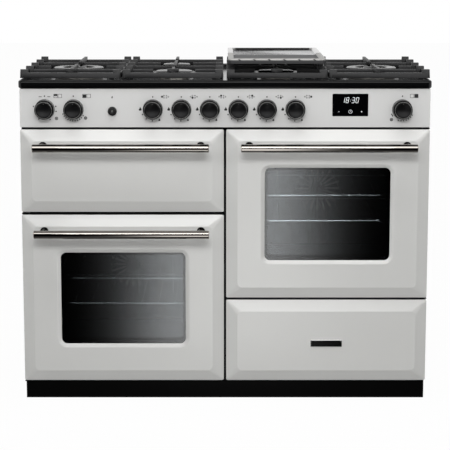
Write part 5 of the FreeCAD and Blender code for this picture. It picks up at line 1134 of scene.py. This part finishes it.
def wire_shelf_tree():
    """A shelf on every point: a rim bent round the edge, and a row of wires welded across it."""
    tree, given = new_tree("wire_shelf", Width=float, Depth=float, Corner=float, Rim=float, Wire=float,
                           Weld=float, Pitch=float, Count=int, Rise=float, Metal=object)
    edge = add(tree, "GeometryNodeCurvePrimitiveQuadrilateral",
               inputs={"Width": given["Width"], "Height": given["Depth"]})
    bent = add(tree, "GeometryNodeFilletCurve", {"mode": "POLY"},
               {"Curve": edge, "Count": 6, "Radius": given["Corner"], "Limit Radius": True})
    thick = add(tree, "GeometryNodeCurvePrimitiveCircle", inputs={"Resolution": 12, "Radius": given["Rim"]})
    rim = add(tree, "GeometryNodeCurveToMesh", inputs={"Curve": bent, "Profile Curve": thick})
    half = add(tree, "ShaderNodeMath", {"operation": "MULTIPLY"}, {0: given["Depth"], 1: 0.5})
    back = add(tree, "ShaderNodeMath", {"operation": "MULTIPLY"}, {0: given["Depth"], 1: -0.5})
    start = add(tree, "ShaderNodeCombineXYZ", inputs={"Y": back})
    end = add(tree, "ShaderNodeCombineXYZ", inputs={"Y": half})
    line = add(tree, "GeometryNodeCurvePrimitiveLine", inputs={"Start": start, "End": end})
    fine = add(tree, "GeometryNodeResampleCurve", inputs={"Curve": line, "Count": 40})
    along = add(tree, "GeometryNodeSplineParameter")
    from_middle = add(tree, "ShaderNodeMath", {"operation": "SUBTRACT"},
                      {0: along.outputs["Factor"], 1: 0.5})
    to_end = add(tree, "ShaderNodeMath", {"operation": "ABSOLUTE"}, {0: from_middle})
    lift = add(tree, "ShaderNodeMapRange", {"interpolation_type": "SMOOTHSTEP"},
               {"Value": to_end, "From Min": RISE_STARTS, "From Max": RISE_ENDS, "To Min": 0.0,
                "To Max": given["Rise"]})
    raised = add(tree, "ShaderNodeCombineXYZ", inputs={"Z": lift})
    arched = add(tree, "GeometryNodeSetPosition", inputs={"Geometry": fine, "Offset": raised})
    thin = add(tree, "GeometryNodeCurvePrimitiveCircle", inputs={"Resolution": 8, "Radius": given["Wire"]})
    wire = add(tree, "GeometryNodeCurveToMesh",
               inputs={"Curve": arched, "Profile Curve": thin, "Fill Caps": True})
    ends = add(tree, "GeometryNodeMeshLine", {"mode": "END_POINTS", "count_mode": "TOTAL"},
               {"Count": 2, "Start Location": start, "Offset": end})
    risen = add(tree, "ShaderNodeCombineXYZ", inputs={"Z": given["Rise"]})
    tops = add(tree, "GeometryNodeSetPosition", inputs={"Geometry": ends, "Offset": risen})
    bead = add(tree, "GeometryNodeMeshIcoSphere", inputs={"Radius": given["Weld"], "Subdivisions": 2})
    welds = add(tree, "GeometryNodeInstanceOnPoints", inputs={"Points": tops, "Instance": bead})
    welded = add(tree, "GeometryNodeJoinGeometry")
    for part in (welds, wire):
        tree.links.new(part.outputs[0], welded.inputs[0])
    gaps = add(tree, "ShaderNodeMath", {"operation": "SUBTRACT"}, {0: given["Count"], 1: 1})
    reach = add(tree, "ShaderNodeMath", {"operation": "MULTIPLY"}, {0: gaps, 1: given["Pitch"]})
    first_x = add(tree, "ShaderNodeMath", {"operation": "MULTIPLY"}, {0: reach, 1: -0.5})
    first = add(tree, "ShaderNodeCombineXYZ", inputs={"X": first_x})
    step = add(tree, "ShaderNodeCombineXYZ", inputs={"X": given["Pitch"]})
    row = add(tree, "GeometryNodeMeshLine", {"mode": "OFFSET", "count_mode": "TOTAL"},
              {"Count": given["Count"], "Start Location": first, "Offset": step})
    wires = add(tree, "GeometryNodeInstanceOnPoints", inputs={"Points": row, "Instance": welded})
    both = add(tree, "GeometryNodeJoinGeometry")
    for part in (wires, rim):
        tree.links.new(part.outputs[0], both.inputs[0])
    each = add(tree, "GeometryNodeInstanceOnPoints", inputs={"Points": given["Geometry"], "Instance": both})
    return close_tree(tree, each, given["Metal"])


# %% Shelves in their ovens
shelf_low, shelf_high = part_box("oven_shelves")
OVEN_CENTRE, RIM_RADIUS = 273.25 * MM, 3 * MM
SHELF_LEVELS = ((-1, 252.8), (-1, 322.8), (1, 481.8), (1, 551.8))
shelf_half = shelf_high.x - OVEN_CENTRE - RIM_RADIUS
shelf_depth = shelf_high.y - shelf_low.y - 2 * RIM_RADIUS
shelf_sizes = {"Width": 2 * shelf_half, "Depth": shelf_depth, "Corner": 14 * MM, "Rim": RIM_RADIUS,
               "Wire": 1.8 * MM, "Weld": 2.5 * MM, "Pitch": 46 * MM, "Count": 9, "Rise": 2.6 * MM}
shelf_y = (shelf_low.y + shelf_high.y) / 2
shelf_spots = [(side * OVEN_CENTRE, shelf_y, level * MM) for side, level in SHELF_LEVELS]
spots = bpy.data.meshes.new("shelf_spots")
spots.from_pydata(shelf_spots, [], [])
wire_shelves = grow("wire_shelves", wire_shelf_tree(), spots, {**shelf_sizes, "Metal": chromed_wire},
                    "carcass")
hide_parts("oven_shelves")
print("shelves:", len(shelf_spots), "faces:", len(wire_shelves.data.polygons))

# %% [markdown]
# ## Screws
# The back and the sides are held by pan head screws. Their places are a rule, spacing along each edge, so
# a tree sets one head on every point and turns it to the way that point faces. The head is grown from a
# disc: pushed out, drawn in, and given the recess for a screwdriver.

# %% Screw tree
def screw_tree():
    """A pan head with its recess on every point, turned to the way that the point faces."""
    tree, given = new_tree("screw_heads", Radius=float, Height=float, Metal=object)
    disc = add(tree, "GeometryNodeMeshCircle", {"fill_type": "NGON"},
               {"Vertices": 12, "Radius": given["Radius"]})
    rim = add(tree, "GeometryNodeExtrudeMesh", inputs={"Mesh": disc, "Offset Scale": given["Height"]})
    dome_height = add(tree, "ShaderNodeMath", {"operation": "MULTIPLY"}, {0: given["Height"], 1: 0.5})
    dome = add(tree, "GeometryNodeExtrudeMesh",
               inputs={"Mesh": rim.outputs["Mesh"], "Selection": rim.outputs["Top"],
                       "Offset Scale": dome_height})
    drawn = add(tree, "GeometryNodeScaleElements",
                inputs={"Geometry": dome.outputs["Mesh"], "Selection": dome.outputs["Top"], "Scale": 0.72})
    lip = add(tree, "GeometryNodeExtrudeMesh",
              inputs={"Mesh": drawn, "Selection": dome.outputs["Top"], "Offset Scale": 0.0})
    narrow = add(tree, "GeometryNodeScaleElements",
                 inputs={"Geometry": lip.outputs["Mesh"], "Selection": lip.outputs["Top"], "Scale": 0.55})
    depth = add(tree, "ShaderNodeMath", {"operation": "MULTIPLY"}, {0: given["Height"], 1: -0.9})
    socket = add(tree, "GeometryNodeExtrudeMesh",
                 inputs={"Mesh": narrow, "Selection": lip.outputs["Top"], "Offset Scale": depth})
    facing = add(tree, "GeometryNodeInputNamedAttribute", {"data_type": "FLOAT_VECTOR"}, {"Name": "facing"})
    turn = add(tree, "FunctionNodeAlignRotationToVector", {"axis": "Z"}, {"Vector": facing})
    spread = add(tree, "GeometryNodeInstanceOnPoints",
                 inputs={"Points": given["Geometry"], "Instance": socket.outputs["Mesh"], "Rotation": turn})
    return close_tree(tree, spread, given["Metal"])


heads_tree = screw_tree()


def screw_points(name, rows):
    """A mesh of points with the way each faces: rows of (first, last, count, facing)."""
    points, facings = [], []
    for first, last, count, facing in rows:
        for i in range(count):
            share = i / max(count - 1, 1)
            points.append(Vector(first).lerp(Vector(last), share))
            facings.append(facing)
    mesh = bpy.data.meshes.new(name)
    mesh.from_pydata(points, [], [])
    way = mesh.attributes.new("facing", "FLOAT_VECTOR", "POINT")
    way.data.foreach_set("vector", [v for facing in facings for v in facing])
    return mesh


# %% Screws on the carcass
back_low, back_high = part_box("back_panel")
side_low, side_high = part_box("side_panels")
back_y = back_high.y
INSET, ROW_END, LEVEL_END = 12 * MM, 30 * MM, 120 * MM
BACKWARDS = (0, 1, 0)
rows = []
for x in (back_low.x + INSET, back_high.x - INSET):
    rows.append(((x, back_y, back_low.z + ROW_END), (x, back_y, back_high.z - ROW_END), 6, BACKWARDS))
for z in (back_low.z + INSET, back_high.z - INSET):
    rows.append(((back_low.x + LEVEL_END, back_y, z), (back_high.x - LEVEL_END, back_y, z), 5, BACKWARDS))
for x, way in ((side_low.x, (-1, 0, 0)), (side_high.x, (1, 0, 0))):
    for y in (side_low.y + 16 * MM, side_high.y - 26 * MM):
        rows.append(((x, y, side_low.z + 40 * MM), (x, y, side_high.z - 45 * MM), 4, way))
zinc_screw = brushed_metal("zinc_plated_screw", "#a4a6a8", rough=0.25, spread=0.1, line_mm=1.0, stretch=EVEN,
                           strength=0.05)
grow("carcass_screws", heads_tree, screw_points("carcass_screw_points", rows),
     {"Radius": 4.2 * MM, "Height": 1.2 * MM, "Metal": zinc_screw}, "carcass")
print("screws:", sum(row[2] for row in rows))
